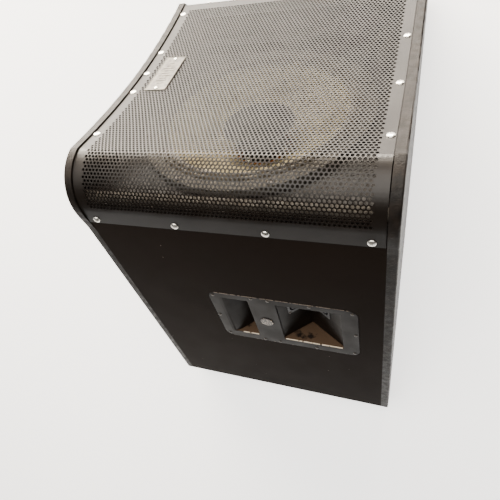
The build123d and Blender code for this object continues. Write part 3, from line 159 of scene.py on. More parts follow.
# %% Floor and light
FLOOR_HALF = 30.0               # metres
FLOOR_GLOW = 1.5                # a lit backdrop, so that it stays near white behind a black box
SKY_STRENGTH = 0.15
floor_mesh = bpy.data.meshes.new("floor")
corners = [(x * FLOOR_HALF, y * FLOOR_HALF, 0) for x, y in ((-1, -1), (1, -1), (1, 1), (-1, 1))]
floor_mesh.from_pydata(corners, [], [(0, 1, 2, 3)])
floor = bpy.data.objects.new("floor", floor_mesh)
bpy.context.scene.collection.objects.link(floor)
floor_paint, _, floor_shader, _ = start_material("pale_floor", "#f4f3f1", 0.85)
floor_shader.inputs["Emission Color"].default_value = to_linear("#ffffff")
floor_shader.inputs["Emission Strength"].default_value = FLOOR_GLOW
painted(floor, floor_paint)

world = bpy.data.worlds.new("studio")
world.use_nodes = True
sky = world.node_tree.nodes["Background"]
sky.inputs["Color"].default_value = to_linear("#f4f2ee")
sky.inputs["Strength"].default_value = SKY_STRENGTH
bpy.context.scene.world = world


def soft_light(name, place, target, size, watts, colour):
    """Rectangular area light at a place, turned to a target."""
    light = bpy.data.lights.new(name, "AREA")
    light.shape = "RECTANGLE"
    light.size, light.size_y = size
    light.energy = watts
    light.color = to_linear(colour)[:3]
    lamp = bpy.data.objects.new(name, light)
    lamp.location = place
    lamp.rotation_euler = (Vector(target) - Vector(place)).to_track_quat("-Z", "Y").to_euler()
    bpy.context.scene.collection.objects.link(lamp)


soft_light("grille_side", (1.0, -2.6, 0.45), (0, -0.15, 0.3), (4.2, 1.3), 1100, "#fff3e2")
soft_light("overhead", (0.3, -1.2, 3.4), (0.1, 0.1, 0), (4.5, 3.0), 330, "#fffaf2")
print("camera", [round(x, 3) for x in camera.location], "and two soft lights")

# %% [markdown]
# ## Paint on the plywood
# The cheeks are sprayed with a textured polyurethane that dries to small hard bumps. The rear panel has
# a smoother coat, which collects pale specks. A noise whose scale comes from the real bump width gives
# the texture, and slower ones shift the colour and the gloss. The patterns read Object coordinates, so
# they stay where they are from every side.


# %% Shared surface patterns
CLOUD_RANGE = {"From Min": 0.35, "From Max": 0.65}     # the part of a noise that does the work


def mottled(tree, shader, place, low, high, width_mm, detail=4):
    """Base colour that drifts between two hex colours in patches of a real width."""
    noise = {"Vector": place, "Scale": 1 / (width_mm * MM), "Detail": detail}
    cloud = add_node(tree, "ShaderNodeTexNoise", noise).outputs["Fac"]
    ramp = add_node(tree, "ShaderNodeMapRange", {"Value": cloud} | CLOUD_RANGE)
    mix = add_node(tree, "ShaderNodeMix", {0: ramp.outputs["Result"]}, data_type="RGBA")
    mix.inputs["A"].default_value = to_linear(low)
    mix.inputs["B"].default_value = to_linear(high)
    tree.links.new(mix.outputs["Result"], shader.inputs["Base Color"])
    return mix


def grained(tree, shader, place, width_mm, depth_mm, detail=2):
    """Bumps of a real width and depth on the shader's normal."""
    noise = {"Vector": place, "Scale": 1 / (width_mm * MM), "Detail": detail}
    grain = add_node(tree, "ShaderNodeTexNoise", noise).outputs["Fac"]
    bump = add_node(tree, "ShaderNodeBump", {"Height": grain, "Strength": 1.0, "Distance": depth_mm * MM})
    tree.links.new(bump.outputs["Normal"], shader.inputs["Normal"])


def uneven_gloss(tree, shader, place, low, high, width_mm):
    """Roughness that drifts between two values in patches of a real width."""
    noise = {"Vector": place, "Scale": 1 / (width_mm * MM), "Detail": 5}
    cloud = add_node(tree, "ShaderNodeTexNoise", noise).outputs["Fac"]
    spread = {"Value": cloud, "To Min": low, "To Max": high} | CLOUD_RANGE
    ramp = add_node(tree, "ShaderNodeMapRange", spread)
    tree.links.new(ramp.outputs["Result"], shader.inputs["Roughness"])


def finish(name, low, high, roughness, patch_mm, grain_mm, depth_mm, metallic=0.0, ior=1.5):
    """A plain finish: two close colours, uneven gloss and a fine grain."""
    material, tree, shader, place = start_material(name, low, roughness[0], metallic, ior)
    mottled(tree, shader, place, low, high, patch_mm)
    uneven_gloss(tree, shader, place, *roughness, patch_mm * 0.6)
    grained(tree, shader, place, grain_mm, depth_mm)
    return material


def over(tree, shader, mask, colour, roughness):
    """Lays another colour and gloss over what the shader has, where a mask says so."""
    layers = (("Base Color", to_linear(colour), "RGBA"), ("Roughness", roughness, "FLOAT"))
    for socket, value, kind in layers:
        target = shader.inputs[socket]
        mix = add_node(tree, "ShaderNodeMix", {0: mask}, data_type=kind)
        first, second = ("A", "B") if kind == "RGBA" else (2, 3)
        first, second = mix.inputs[first], mix.inputs[second]
        if target.is_linked:
            tree.links.new(target.links[0].from_socket, first)
        else:
            first.default_value = target.default_value
        second.default_value = value
        result = mix.outputs["Result"] if kind == "RGBA" else mix.outputs[0]
        tree.links.new(result, target)


# %% Textured paint
PEEL_WIDTH = 2.2                # mm, width of the dried bumps
PEEL_DEPTH = 0.45
SPECK_PITCH = 34.0              # mm between the panel's pale specks
SPECK_EDGE = {"From Min": 0.022, "From Max": 0.012}    # radius where a speck fades, in pitches


def textured_paint():
    """Sprayed textured polyurethane: hard dark bumps, with a gloss that comes and goes."""
    material, tree, shader, place = start_material("textured_polyurethane", "#2b2522", 0.5, ior=1.25)
    mottled(tree, shader, place, "#0d0a08", "#1a1511", 14)
    uneven_gloss(tree, shader, place, 0.36, 0.58, 9)
    grained(tree, shader, place, PEEL_WIDTH, PEEL_DEPTH)
    shader.inputs["Specular IOR Level"].default_value = 0.4
    return material


def panel_paint():
    """Rolled satin paint on the rear panel, with pale specks."""
    material, tree, shader, place = start_material("satin_rolled_paint", "#16110e", 0.45, ior=1.12)
    mottled(tree, shader, place, "#120c08", "#160f0a", 400)
    shader.inputs["Specular IOR Level"].default_value = 0.16
    uneven_gloss(tree, shader, place, 0.5, 0.54, 60)
    grained(tree, shader, place, 1.6, 0.06)
    specks = add_node(tree, "ShaderNodeTexVoronoi", {"Vector": place, "Scale": 1 / (SPECK_PITCH * MM)})
    fleck = add_node(tree, "ShaderNodeMapRange", {"Value": specks.outputs["Distance"]} | SPECK_EDGE)
    over(tree, shader, fleck.outputs["Result"], "#8d8377", 0.5)
    return material


cheek_finish = textured_paint()
panel_finish = panel_paint()
for name in ("left_cheek", "right_cheek", "heel_panel", "floor_panel", "toe_panel", "baffle"):
    painted(nodes[name], cheek_finish)
painted(nodes["rear_panel"], panel_finish)
print("paint on 7 boards")

# %% [markdown]
# ## Bare birch plywood
# The port shelf and its divider, the brace and the glue blocks are left bare. The battens are black like
# the cheeks, and the rail behind the nose has a grey primer. Bare birch is pale with a long grain, which
# a noise gives when it is stretched along one direction.


# %% Birch plywood
VENEER = 1.4                    # mm, width of a grain streak
GRAIN_LENGTH = 12               # a grain streak is this many times longer than wide


def birch_plywood():
    """Bare birch: pale, matt, streaked along the cabinet's width."""
    material, tree, shader, place = start_material("birch_plywood", "#c9ab78", 0.6)
    stretched = add_node(tree, "ShaderNodeMapping", {"Vector": place, "Scale": (1 / GRAIN_LENGTH, 1, 1)})
    mottled(tree, shader, stretched.outputs["Vector"], "#b8945f", "#d8bd8c", VENEER)
    grained(tree, shader, stretched.outputs["Vector"], VENEER, 0.05)
    return material


birch = birch_plywood()
for name in ("port_shelf", "port_divider", "brace", "glue_blocks"):
    painted(nodes[name], birch)
painted(nodes["grille_battens"], cheek_finish)
painted(nodes["nose_rail"], finish("grey_primed_batten", "#2e2922", "#3f3930", (0.7, 0.85), 18, 1.4, 0.08))
print("bare plywood on 4 pieces, a black batten and a grey rail")

# %% [markdown]
# ## The grille
# The real grille is one steel sheet, punched with staggered 4.8 mm holes on quarter-inch centres, rolled
# over the nose, dished along the slope and bent down over the toe. It could be cut with a Boolean, but
# thousands of cutters are slow and leave bad edges. Geometry Nodes lay the sheet flat instead, from
# cells with and without a hole. Every second row is shifted by half a cell. The sheet gets its
# thickness, and is then rolled along a profile curve. Three lengths of it meet edge to edge, so that no
# mesh grows too large.

# %% Grille profile
SHEET = 1.5                     # mm, steel
NOSE_R = 77.0
NOSE_START = 25.0               # flat lap below the nose
CREASE_INTO = 60.0
DISH = ((230.0, 92.0), (522.0, 119.0))          # lowest point and far bend of the slope
LIP = 18.0                      # bent down over the toe
BEND_R = 3.0                    # outer radius of the far bend
ARC_STEP = 2.0                  # mm between the profile's points

nose_y, nose_z = NOSE_R - SHEET, NOSE_START
crease = (CREASE_INTO, nose_z + sqrt(NOSE_R**2 - (nose_y - CREASE_INTO) ** 2))


def circle_through(a, b, c):
    """Centre and radius of the circle through three points."""
    d = 2 * (a[0] * (b[1] - c[1]) + b[0] * (c[1] - a[1]) + c[0] * (a[1] - b[1]))
    aa, bb, cc = (p[0] ** 2 + p[1] ** 2 for p in (a, b, c))
    y = (aa * (b[1] - c[1]) + bb * (c[1] - a[1]) + cc * (a[1] - b[1])) / d
    z = (aa * (c[0] - b[0]) + bb * (a[0] - c[0]) + cc * (b[0] - a[0])) / d
    return y, z, hypot(a[0] - y, a[1] - z)


def arc_points(centre, radius, start, end):
    """Points from one angle to another, ARC_STEP apart."""
    count = max(3, ceil(abs(end - start) * radius / ARC_STEP))
    turns = [start + (end - start) * i / count for i in range(count + 1)]
    return [(centre[0] + cos(t) * radius, centre[1] + sin(t) * radius) for t in turns]


def angle_at(centre, point):
    return atan2(point[1] - centre[1], point[0] - centre[0])


dish_y, dish_z, DISH_R = circle_through(crease, *DISH)
dish_centre = (dish_y, dish_z)
far_turn = angle_at(dish_centre, DISH[1]) - BEND_R / DISH_R
profile = [(-SHEET, 0.0)]
profile += arc_points((nose_y, nose_z), NOSE_R, pi, angle_at((nose_y, nose_z), crease))
profile += arc_points(dish_centre, DISH_R, angle_at(dish_centre, crease), far_turn)[1:]
bend_start = Vector(profile[-1])
slope_normal = Vector((dish_y - bend_start.x, dish_z - bend_start.y)).normalized()
bend_centre = bend_start - slope_normal * BEND_R
lip_normal = Vector((cos(TILT), sin(TILT)))
normal_turn = atan2(slope_normal.y, slope_normal.x)
profile += arc_points(bend_centre, BEND_R, normal_turn, atan2(lip_normal.y, lip_normal.x))[1:]
lip_down = Vector((sin(TILT), -cos(TILT)))
profile.append(tuple(Vector(profile[-1]) + lip_down * (LIP - BEND_R)))
profile_length = sum(hypot(b[0] - a[0], b[1] - a[1]) for a, b in zip(profile, profile[1:]))

profile_data = bpy.data.curves.new("grille_profile", "CURVE")
profile_data.dimensions = "3D"
line = profile_data.splines.new("POLY")
line.points.add(len(profile) - 1)
for point, (y, z) in zip(line.points, profile):
    point.co = (*bench(0, y, z), 1)
profile_curve = bpy.data.objects.new("grille_profile", profile_data)
bpy.context.scene.collection.objects.link(profile_curve)
print("profile:", len(profile), "points,", round(profile_length, 1), "mm long")


# %% Helpers for node trees
def start_tree(name, sockets):
    """Geometry node tree with named inputs: (name, socket kind, default)."""
    tree = bpy.data.node_groups.new(name, "GeometryNodeTree")
    tree.interface.new_socket("Geometry", in_out="INPUT", socket_type="NodeSocketGeometry")
    for label, kind, default in sockets:
        socket = tree.interface.new_socket(label, in_out="INPUT", socket_type=f"NodeSocket{kind}")
        if default is not None:
            socket.default_value = default
    tree.interface.new_socket("Geometry", in_out="OUTPUT", socket_type="NodeSocketGeometry")
    return tree, add_node(tree, "NodeGroupInput").outputs


def finish_tree(tree, geometry, material):
    """Ends a tree: instances become real mesh, and the mesh gets its material."""
    real = add_node(tree, "GeometryNodeRealizeInstances", {"Geometry": geometry})
    coated = add_node(tree, "GeometryNodeSetMaterial", {"Geometry": real.outputs[0], "Material": material})
    add_node(tree, "NodeGroupOutput", {0: coated.outputs[0]})


def link_object(name, data):
    obj = bpy.data.objects.new(name, data)
    bpy.context.scene.collection.objects.link(obj)
    return obj


def run_tree(name, tree, values, source=None):
    """Plain mesh object with the result of a tree for these input values."""
    carrier = link_object(name + "_carrier", source or bpy.data.meshes.new(name + "_carrier"))
    modifier = carrier.modifiers.new("tree", "NODES")
    modifier.node_group = tree
    for item in tree.interface.items_tree:
        if item.in_out == "INPUT" and item.name in values:
            modifier[item.identifier] = values[item.name]
    evaluated = carrier.evaluated_get(bpy.context.evaluated_depsgraph_get())
    mesh = bpy.data.meshes.new_from_object(evaluated)
    bpy.data.objects.remove(carrier)
    mesh.name = name
    return link_object(name, mesh)


# %% Perforated sheet tree
HOLE_SIDES = 12
MATH = "ShaderNodeMath"
WELD = 0.00002                  # metres, points this close are one


def perforated_sheet():
    """Flat cells in staggered rows, made thick and rolled along a profile curve."""
    tree, inputs = start_tree(
        "perforated_sheet",
        [
            ("Profile", "Object", None),
            ("Pitch", "Float", 0.006),
            ("Row Pitch", "Float", 0.0055),
            ("Hole Radius", "Float", 0.0024),
            ("Columns", "Int", 70),
            ("First Row", "Int", 0),
            ("Rows", "Int", 10),
            ("Half Width", "Float", 0.2),
            ("Length", "Float", 0.5),
            ("Plain Side", "Float", 0.02),
            ("Plain Start", "Float", 0.03),
            ("Plain End", "Float", 0.03),
            ("Thickness", "Float", 0.0015),
            ("Material", "Material", None),
        ],
    )

    # one cell, with and without its hole
    outline = add_node(
        tree,
        "GeometryNodeCurvePrimitiveQuadrilateral",
        {"Width": inputs["Pitch"], "Height": inputs["Row Pitch"]},
    )
    halved = add_node(tree, "GeometryNodeSubdivideCurve", {"Curve": outline.outputs[0]})
    hole = add_node(
        tree, "GeometryNodeCurvePrimitiveCircle", {"Resolution": HOLE_SIDES, "Radius": inputs["Hole Radius"]}
    )
    both = add_node(tree, "GeometryNodeJoinGeometry", {0: halved.outputs[0]})
    tree.links.new(hole.outputs["Curve"], both.inputs[0])
    pierced = add_node(tree, "GeometryNodeFillCurve", {"Curve": both.outputs[0]})
    plain = add_node(tree, "GeometryNodeFillCurve", {"Curve": halved.outputs[0]})

    # points of the staggered grid: x across, y along the sheet
    grid = add_node(
        tree,
        "GeometryNodeMeshGrid",
        {"Size X": 1.0, "Size Y": 1.0, "Vertices X": inputs["Rows"], "Vertices Y": inputs["Columns"]},
    )
    index = add_node(tree, "GeometryNodeInputIndex").outputs[0]
    columns = inputs["Columns"]
    rows_passed = add_node(tree, MATH, {0: index, 1: columns}, operation="DIVIDE").outputs[0]
    row = add_node(tree, MATH, {0: rows_passed}, operation="FLOOR").outputs[0]
    row_start = add_node(tree, MATH, {0: row, 1: columns}, operation="MULTIPLY").outputs[0]
    column = add_node(tree, MATH, {0: index, 1: row_start}, operation="SUBTRACT").outputs[0]
    sheet_row = add_node(tree, MATH, {0: row, 1: inputs["First Row"]}, operation="ADD").outputs[0]
    odd = add_node(tree, MATH, {0: sheet_row, 1: 1.0}, operation="PINGPONG").outputs[0]
    shift = add_node(tree, MATH, {0: odd, 1: 0.5}, operation="MULTIPLY").outputs[0]
    across = add_node(tree, MATH, {0: columns, 1: 0.5}, operation="SUBTRACT").outputs[0]
    middle = add_node(tree, MATH, {0: across, 1: 2.0}, operation="DIVIDE").outputs[0]
    shifted = add_node(tree, MATH, {0: column, 1: shift}, operation="ADD").outputs[0]
    centred = add_node(tree, MATH, {0: shifted, 1: middle}, operation="SUBTRACT").outputs[0]
    x = add_node(tree, MATH, {0: centred, 1: inputs["Pitch"]}, operation="MULTIPLY").outputs[0]
    mid_row = add_node(tree, MATH, {0: sheet_row, 1: 0.5}, operation="ADD").outputs[0]
    y = add_node(tree, MATH, {0: mid_row, 1: inputs["Row Pitch"]}, operation="MULTIPLY").outputs[0]
    spot = add_node(tree, "ShaderNodeCombineXYZ", {0: x, 1: y})
    points = add_node(
        tree, "GeometryNodeSetPosition", {"Geometry": grid.outputs["Mesh"], "Position": spot.outputs[0]}
    )

    # a cell is pierced if it is far enough from every edge
    here = add_node(tree, "GeometryNodeInputPosition").outputs[0]
    where = add_node(tree, "ShaderNodeSeparateXYZ", {0: here})
    along = where.outputs[1]
    sides = {0: inputs["Half Width"], 1: inputs["Plain Side"]}
    side_limit = add_node(tree, MATH, sides, operation="SUBTRACT").outputs[0]
    ends = {0: inputs["Length"], 1: inputs["Plain End"]}
    end_limit = add_node(tree, MATH, ends, operation="SUBTRACT").outputs[0]
    off_middle = add_node(tree, MATH, {0: where.outputs[0]}, operation="ABSOLUTE").outputs[0]
    inside_x = add_node(tree, MATH, {0: off_middle, 1: side_limit}, operation="LESS_THAN").outputs[0]
    starts = {0: along, 1: inputs["Plain Start"]}
    after = add_node(tree, MATH, starts, operation="GREATER_THAN").outputs[0]
    before = add_node(tree, MATH, {0: along, 1: end_limit}, operation="LESS_THAN").outputs[0]
    inside = add_node(tree, MATH, {0: inside_x, 1: after}, operation="MULTIPLY").outputs[0]
    holed = add_node(tree, MATH, {0: inside, 1: before}, operation="MULTIPLY").outputs[0]
    blank = add_node(tree, MATH, {0: 1.0, 1: holed}, operation="SUBTRACT").outputs[0]
    cells = []
    for choice, cell in ((holed, pierced), (blank, plain)):
        placed = add_node(
            tree,
            "GeometryNodeInstanceOnPoints",
            {"Points": points.outputs[0], "Selection": choice, "Instance": cell.outputs[0]},
        )
        cells.append(placed.outputs[0])
    joined = add_node(tree, "GeometryNodeJoinGeometry", {0: cells[0]})
    tree.links.new(cells[1], joined.inputs[0])
    real = add_node(tree, "GeometryNodeRealizeInstances", {"Geometry": joined.outputs[0]})

    # trim the outermost cells to the sheet's edges
    here = add_node(tree, "GeometryNodeInputPosition").outputs[0]
    flat = add_node(tree, "ShaderNodeSeparateXYZ", {0: here})
    half = inputs["Half Width"]
    low_x = add_node(tree, MATH, {0: half, 1: -1.0}, operation="MULTIPLY").outputs[0]
    under_x = add_node(tree, MATH, {0: flat.outputs[0], 1: half}, operation="MINIMUM").outputs[0]
    trimmed_x = add_node(tree, MATH, {0: under_x, 1: low_x}, operation="MAXIMUM").outputs[0]
    tops = {0: flat.outputs[1], 1: inputs["Length"]}
    under_y = add_node(tree, MATH, tops, operation="MINIMUM").outputs[0]
    trimmed_y = add_node(tree, MATH, {0: under_y, 1: 0.0}, operation="MAXIMUM").outputs[0]
    trimmed = add_node(
        tree,
        "GeometryNodeSetPosition",
        {
            "Geometry": real.outputs[0],
            "Position": add_node(tree, "ShaderNodeCombineXYZ", {0: trimmed_x, 1: trimmed_y}).outputs[0],
        },
    )
    merged = add_node(
        tree, "GeometryNodeMergeByDistance", {"Geometry": trimmed.outputs[0], "Distance": WELD}
    )

    # thickness: the face is lifted off its back
    lift = add_node(
        tree,
        "GeometryNodeExtrudeMesh",
        {
            "Mesh": merged.outputs[0],
            "Offset": (0, 0, 1),
            "Offset Scale": inputs["Thickness"],
            "Individual": False,
        },
    )
    back = add_node(tree, "GeometryNodeFlipFaces", {"Mesh": merged.outputs[0]})
    solid = add_node(tree, "GeometryNodeJoinGeometry", {0: lift.outputs["Mesh"]})
    tree.links.new(back.outputs[0], solid.inputs[0])
    closed = add_node(
        tree, "GeometryNodeMergeByDistance", {"Geometry": solid.outputs[0], "Distance": WELD}
    )

    # roll the flat sheet along the profile, its face outwards
    here = add_node(tree, "GeometryNodeInputPosition").outputs[0]
    laid = add_node(tree, "ShaderNodeSeparateXYZ", {0: here})
    profile_shape = add_node(tree, "GeometryNodeObjectInfo", {"Object": inputs["Profile"]})
    sample = add_node(
        tree,
        "GeometryNodeSampleCurve",
        {"Curves": profile_shape.outputs["Geometry"], "Length": laid.outputs[1]},
        mode="LENGTH",
    )
    outward = add_node(
        tree,
        "ShaderNodeVectorMath",
        {0: tuple(BENCH_X), 1: sample.outputs["Tangent"]},
        operation="CROSS_PRODUCT",
    )
    levels = {0: laid.outputs[2], 1: inputs["Thickness"]}
    depth = add_node(tree, MATH, levels, operation="SUBTRACT").outputs[0]
    off_face = add_node(
        tree, "ShaderNodeVectorMath", {0: outward.outputs[0], "Scale": depth}, operation="SCALE"
    )
    sideways = add_node(
        tree, "ShaderNodeVectorMath", {0: tuple(BENCH_X), "Scale": laid.outputs[0]}, operation="SCALE"
    )
    moved = add_node(
        tree,
        "ShaderNodeVectorMath",
        {0: sample.outputs["Position"], 1: off_face.outputs[0]},
        operation="ADD",
    )
    target = add_node(
        tree, "ShaderNodeVectorMath", {0: moved.outputs[0], 1: sideways.outputs[0]}, operation="ADD"
    )
    rolled = add_node(
        tree, "GeometryNodeSetPosition", {"Geometry": closed.outputs[0], "Position": target.outputs[0]}
    )
    finish_tree(tree, rolled.outputs[0], inputs["Material"])
    return tree


# %% Powder-coated steel
def powder_coat():
    """Baked satin powder on steel: even, slightly orange-peeled, with a soft wide highlight."""
    material, tree, shader, place = start_material("powder_coated_steel", "#3a342e", 0.32, ior=1.32)
    mottled(tree, shader, place, "#0e0a07", "#140f0b", 90)
    uneven_gloss(tree, shader, place, 0.28, 0.4, 40)
    grained(tree, shader, place, 1.1, 0.05)
    return material


grille_finish = powder_coat()

# %% Roll the grille
PITCH = 6.35                    # quarter inch between holes in a row
HOLE_R = 2.4
PLAIN_SIDE = 17.0               # margins without holes
PLAIN_START = 31.0
PLAIN_END = 36.0
grille_low, grille_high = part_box("grille")
half_width = (grille_high.x - grille_low.x) / 2
row_pitch = PITCH * sqrt(3) / 2
rows = ceil(profile_length / row_pitch)
columns = ceil(2 * half_width / (PITCH * MM)) + 1
sheet_values = {
    "Profile": profile_curve,
    "Pitch": PITCH * MM,
    "Row Pitch": row_pitch * MM,
    "Hole Radius": HOLE_R * MM,
    "Columns": columns,
    "Half Width": half_width,
    "Length": profile_length * MM,
    "Plain Side": PLAIN_SIDE * MM,
    "Plain Start": PLAIN_START * MM,
    "Plain End": PLAIN_END * MM,
    "Thickness": SHEET * MM,
    "Material": grille_finish,
}
sheet_tree = perforated_sheet()
LENGTHS = ("grille_nose", "grille_slope", "grille_far")
first_rows = [round(rows * i / len(LENGTHS)) for i in range(len(LENGTHS) + 1)]
for name, first, last in zip(LENGTHS, first_rows, first_rows[1:]):
    piece = run_tree(name, sheet_tree, sheet_values | {"First Row": first, "Rows": last - first})
    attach(piece, "cabinet")
    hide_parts("grille")
    triangles = sum(len(p.vertices) - 2 for p in piece.data.polygons)
    print(name, last - first, "rows,", triangles, "triangles")
bpy.data.objects.remove(profile_curve)

# %% [markdown]
# ## Moulded plate and softened edges
# Real edges are never sharp: a moulding has a small radius, and a saw-cut board is eased with sandpaper.
# Those narrow rounds catch the light as thin bright lines. A CAD node comes in as loose triangles, so a
# copy is merged, its flat faces are dissolved back to whole ones, and a Bevel modifier eases the edges.


# %% Softened copies of CAD nodes
def merged_copy(node):
    """bmesh of a CAD node with its doubles merged and its flat faces whole."""
    shape = bmesh.new()
    shape.from_mesh(nodes[node].data)
    bmesh.ops.remove_doubles(shape, verts=shape.verts, dist=2e-6)
    bmesh.ops.dissolve_limit(shape, angle_limit=radians(0.5), verts=shape.verts, edges=shape.edges)
    return shape


def softened(node, width_mm, material, body="cabinet", segments=2, sharper_than=35):
    """A copy of a CAD node with eased edges, which stands for it."""
    shape = merged_copy(node)
    mesh = bpy.data.meshes.new(node + "_eased")
    shape.to_mesh(mesh)
    shape.free()
    mesh.shade_smooth()
    mesh.set_sharp_from_angle(angle=radians(sharper_than))
    piece = link_object(node + "_eased", mesh)
    bevel = piece.modifiers.new("ease", "BEVEL")
    bevel.width = width_mm * MM
    bevel.segments = segments
    bevel.limit_method = "ANGLE"
    bevel.angle_limit = radians(sharper_than)
    bevel.use_clamp_overlap = True
    bevel.harden_normals = True
    evaluated = piece.evaluated_get(bpy.context.evaluated_depsgraph_get())
    eased = bpy.data.meshes.new_from_object(evaluated)
    piece.modifiers.clear()
    piece.data = eased
    painted(piece, material)
    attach(piece, body)
    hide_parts(node)
    return piece


# %% Patterns that follow the bench directions
def bench_place(tree, place):
    """Object coordinates turned to bench directions, in metres."""
    turn = Matrix((BENCH_X, BENCH_Y, BENCH_Z))
    turned_place = add_node(
        tree,
        "ShaderNodeMapping",
        {"Vector": place, "Rotation": tuple(turn.to_euler()), "Location": tuple(-(turn @ bench_origin))},
    )
    return add_node(tree, "ShaderNodeSeparateXYZ", {0: turned_place.outputs[0]}).outputs


def band(tree, value, middle_mm, half_mm, fade_mm):
    """1 within a distance of a value, fading out over another distance."""
    away = add_node(tree, "ShaderNodeMath", {0: value, 1: middle_mm * MM}, operation="SUBTRACT")
    size = add_node(tree, "ShaderNodeMath", {0: away.outputs[0]}, operation="ABSOLUTE")
    fall = add_node(
        tree,
        "ShaderNodeMapRange",
        {"Value": size.outputs[0], "From Min": (half_mm + fade_mm) * MM, "From Max": half_mm * MM},
    )
    return fall.outputs["Result"]


def broken(tree, place, mask, width_mm, share):
    """Breaks a mask up with a noise, so that about a share of it is left."""
    noise = {"Vector": place, "Scale": 1 / (width_mm * MM), "Detail": 6}
    cloud = add_node(tree, "ShaderNodeTexNoise", noise).outputs["Fac"]
    cut = add_node(
        tree,
        "ShaderNodeMapRange",
        {"Value": cloud, "From Min": 0.66 - 0.34 * share, "From Max": 0.72 - 0.34 * share},
    )
    return add_node(tree, MATH, {0: mask, 1: cut.outputs["Result"]}, operation="MULTIPLY").outputs[0]


# %% Moulded plate
PLATE_TOP_Z = -169.0            # mm, plate's edges in bench directions
PLATE_BOTTOM_Z = -325.0
POCKET_BOTTOM_Z = -304.0
GRIP_MOUTH = (-18.0, 16.0)      # middle and half width of the pale lip under each pocket, rubbing and painted highlight in one
DISH_MOUTH = (108.5, 54.0)


def moulded_abs():
    """Grained black ABS. The pocket floors carry a painted brown sheen. The top rim, the lower rim and the
    pocket floors' lips are painted pale, for rubbing and painted highlight in one.
    """
    material, tree, shader, place = start_material("moulded_abs", "#2b221e", 0.42, ior=1.18)
    mottled(tree, shader, place, "#0c0806", "#120d0a", 45)
    uneven_gloss(tree, shader, place, 0.38, 0.5, 30)
    grained(tree, shader, place, 0.9, 0.04)
    across_plate, depth, height = bench_place(tree, place)
    # Painted sheen: a brown layer on the pocket floors stands for the light that their ABS reflects.
    pocket_bands = {0: band(tree, height, POCKET_BOTTOM_Z, 1.2, 0.6), 1: band(tree, depth, 26, 24, 2)}
    pocket_floor_sheen = add_node(tree, MATH, pocket_bands, operation="MULTIPLY").outputs[0]
    over(tree, shader, broken(tree, place, pocket_floor_sheen, 24, 1.0), "#3a2d22", 0.5)
    # Painted highlight with wear: thin pale bands along the plate's top and bottom rims stand for rubbing
    # and for the light their edges catch.
    top_rim_wear_and_highlight = broken(tree, place, band(tree, height, PLATE_TOP_Z, 0.5, 0.3), 7, 0.7)
    over(tree, shader, top_rim_wear_and_highlight, "#6f645a", 0.4)
    low_rim_wear_and_highlight = broken(tree, place, band(tree, height, PLATE_BOTTOM_Z, 0.4, 0.3), 5, 0.35)
    over(tree, shader, low_rim_wear_and_highlight, "#7d6f63", 0.4)
    mouths = add_node(
        tree,
        "ShaderNodeMath",
        {0: band(tree, across_plate, *GRIP_MOUTH, 1), 1: band(tree, across_plate, *DISH_MOUTH, 1)},
        operation="ADD",
    )
    # Painted highlight with wear: the lips at the pocket mouths are painted pale, for rubbing and for the
    # light they catch.
    lip_bands = {0: band(tree, height, POCKET_BOTTOM_Z, 1.0, 0.4), 1: band(tree, depth, 0.4, 0.9, 0.6)}
    lip = add_node(tree, MATH, lip_bands, operation="MULTIPLY").outputs[0]
    lip_masks = {0: lip, 1: mouths.outputs[0]}
    lip_wear_and_highlight = add_node(tree, MATH, lip_masks, operation="MULTIPLY").outputs[0]
    over(tree, shader, broken(tree, place, lip_wear_and_highlight, 9, 0.9), "#b5a794", 0.35)
    return material


abs_plastic = moulded_abs()
plate = softened("handle_plate", 0.5, abs_plastic)
panel = softened("rear_panel", 0.8, panel_finish)
print("plate and rear panel with eased edges:", len(plate.data.polygons), len(panel.data.polygons), "faces")

# %% [markdown]
# ## Screws and rivets
# Truss-head machine screws hold the grille, small black ones the plate. Each kind is turned once:
# a profile swept about the axis, threads as shallow rings, and a cross cut into the head. Geometry Nodes
# then put one on each place. The places are measured from the frame's own screws: a turned solid's axis
# is the direction in which its points spread differently from the other two.

# %% Turned shapes


def turned_mesh(name, outline, segments=28, sweep=2 * pi, closed=False):
    """Shape turned about Z from points (radius, height) in millimetres. Points on the axis close it."""
    shape = bmesh.new()
    whole = sweep > 2 * pi - 1e-6
    count = segments if whole else segments + 1
    rings = []
    for radius, height in outline:
        if radius < 1e-6:
            rings.append([shape.verts.new((0, 0, height * MM))] * count)
        else:
            turns = [sweep * (i / segments - (0 if whole else 0.5)) for i in range(count)]
            spots = [(cos(t) * radius * MM, sin(t) * radius * MM, height * MM) for t in turns]
            rings.append([shape.verts.new(spot) for spot in spots])
    pairs = list(zip(rings, rings[1:])) + ([(rings[-1], rings[0])] if closed else [])
    for upper, lower in pairs:
        for i in range(segments):
            j = (i + 1) % count
            corners = dict.fromkeys((upper[i], upper[j], lower[j], lower[i]))
            if len(corners) > 2:
                shape.faces.new(tuple(corners))
    if not whole:
        shape.faces.new([ring[0] for ring in rings])
        shape.faces.new([ring[-1] for ring in reversed(rings)])
    bmesh.ops.recalc_face_normals(shape, faces=shape.faces)
    mesh = bpy.data.meshes.new(name)
    shape.to_mesh(mesh)
    shape.free()
    mesh.shade_smooth()
    mesh.set_sharp_from_angle(angle=radians(40))
    return mesh


def dome(radius, height, steps=5):
    """Outline of a domed head, from the top of the axis to its rim, its top at height 0."""
    turns = [i / steps * pi / 2 for i in range(steps + 1)]
    return [(radius * sin(t), -height * (1 - cos(t))) for t in turns]


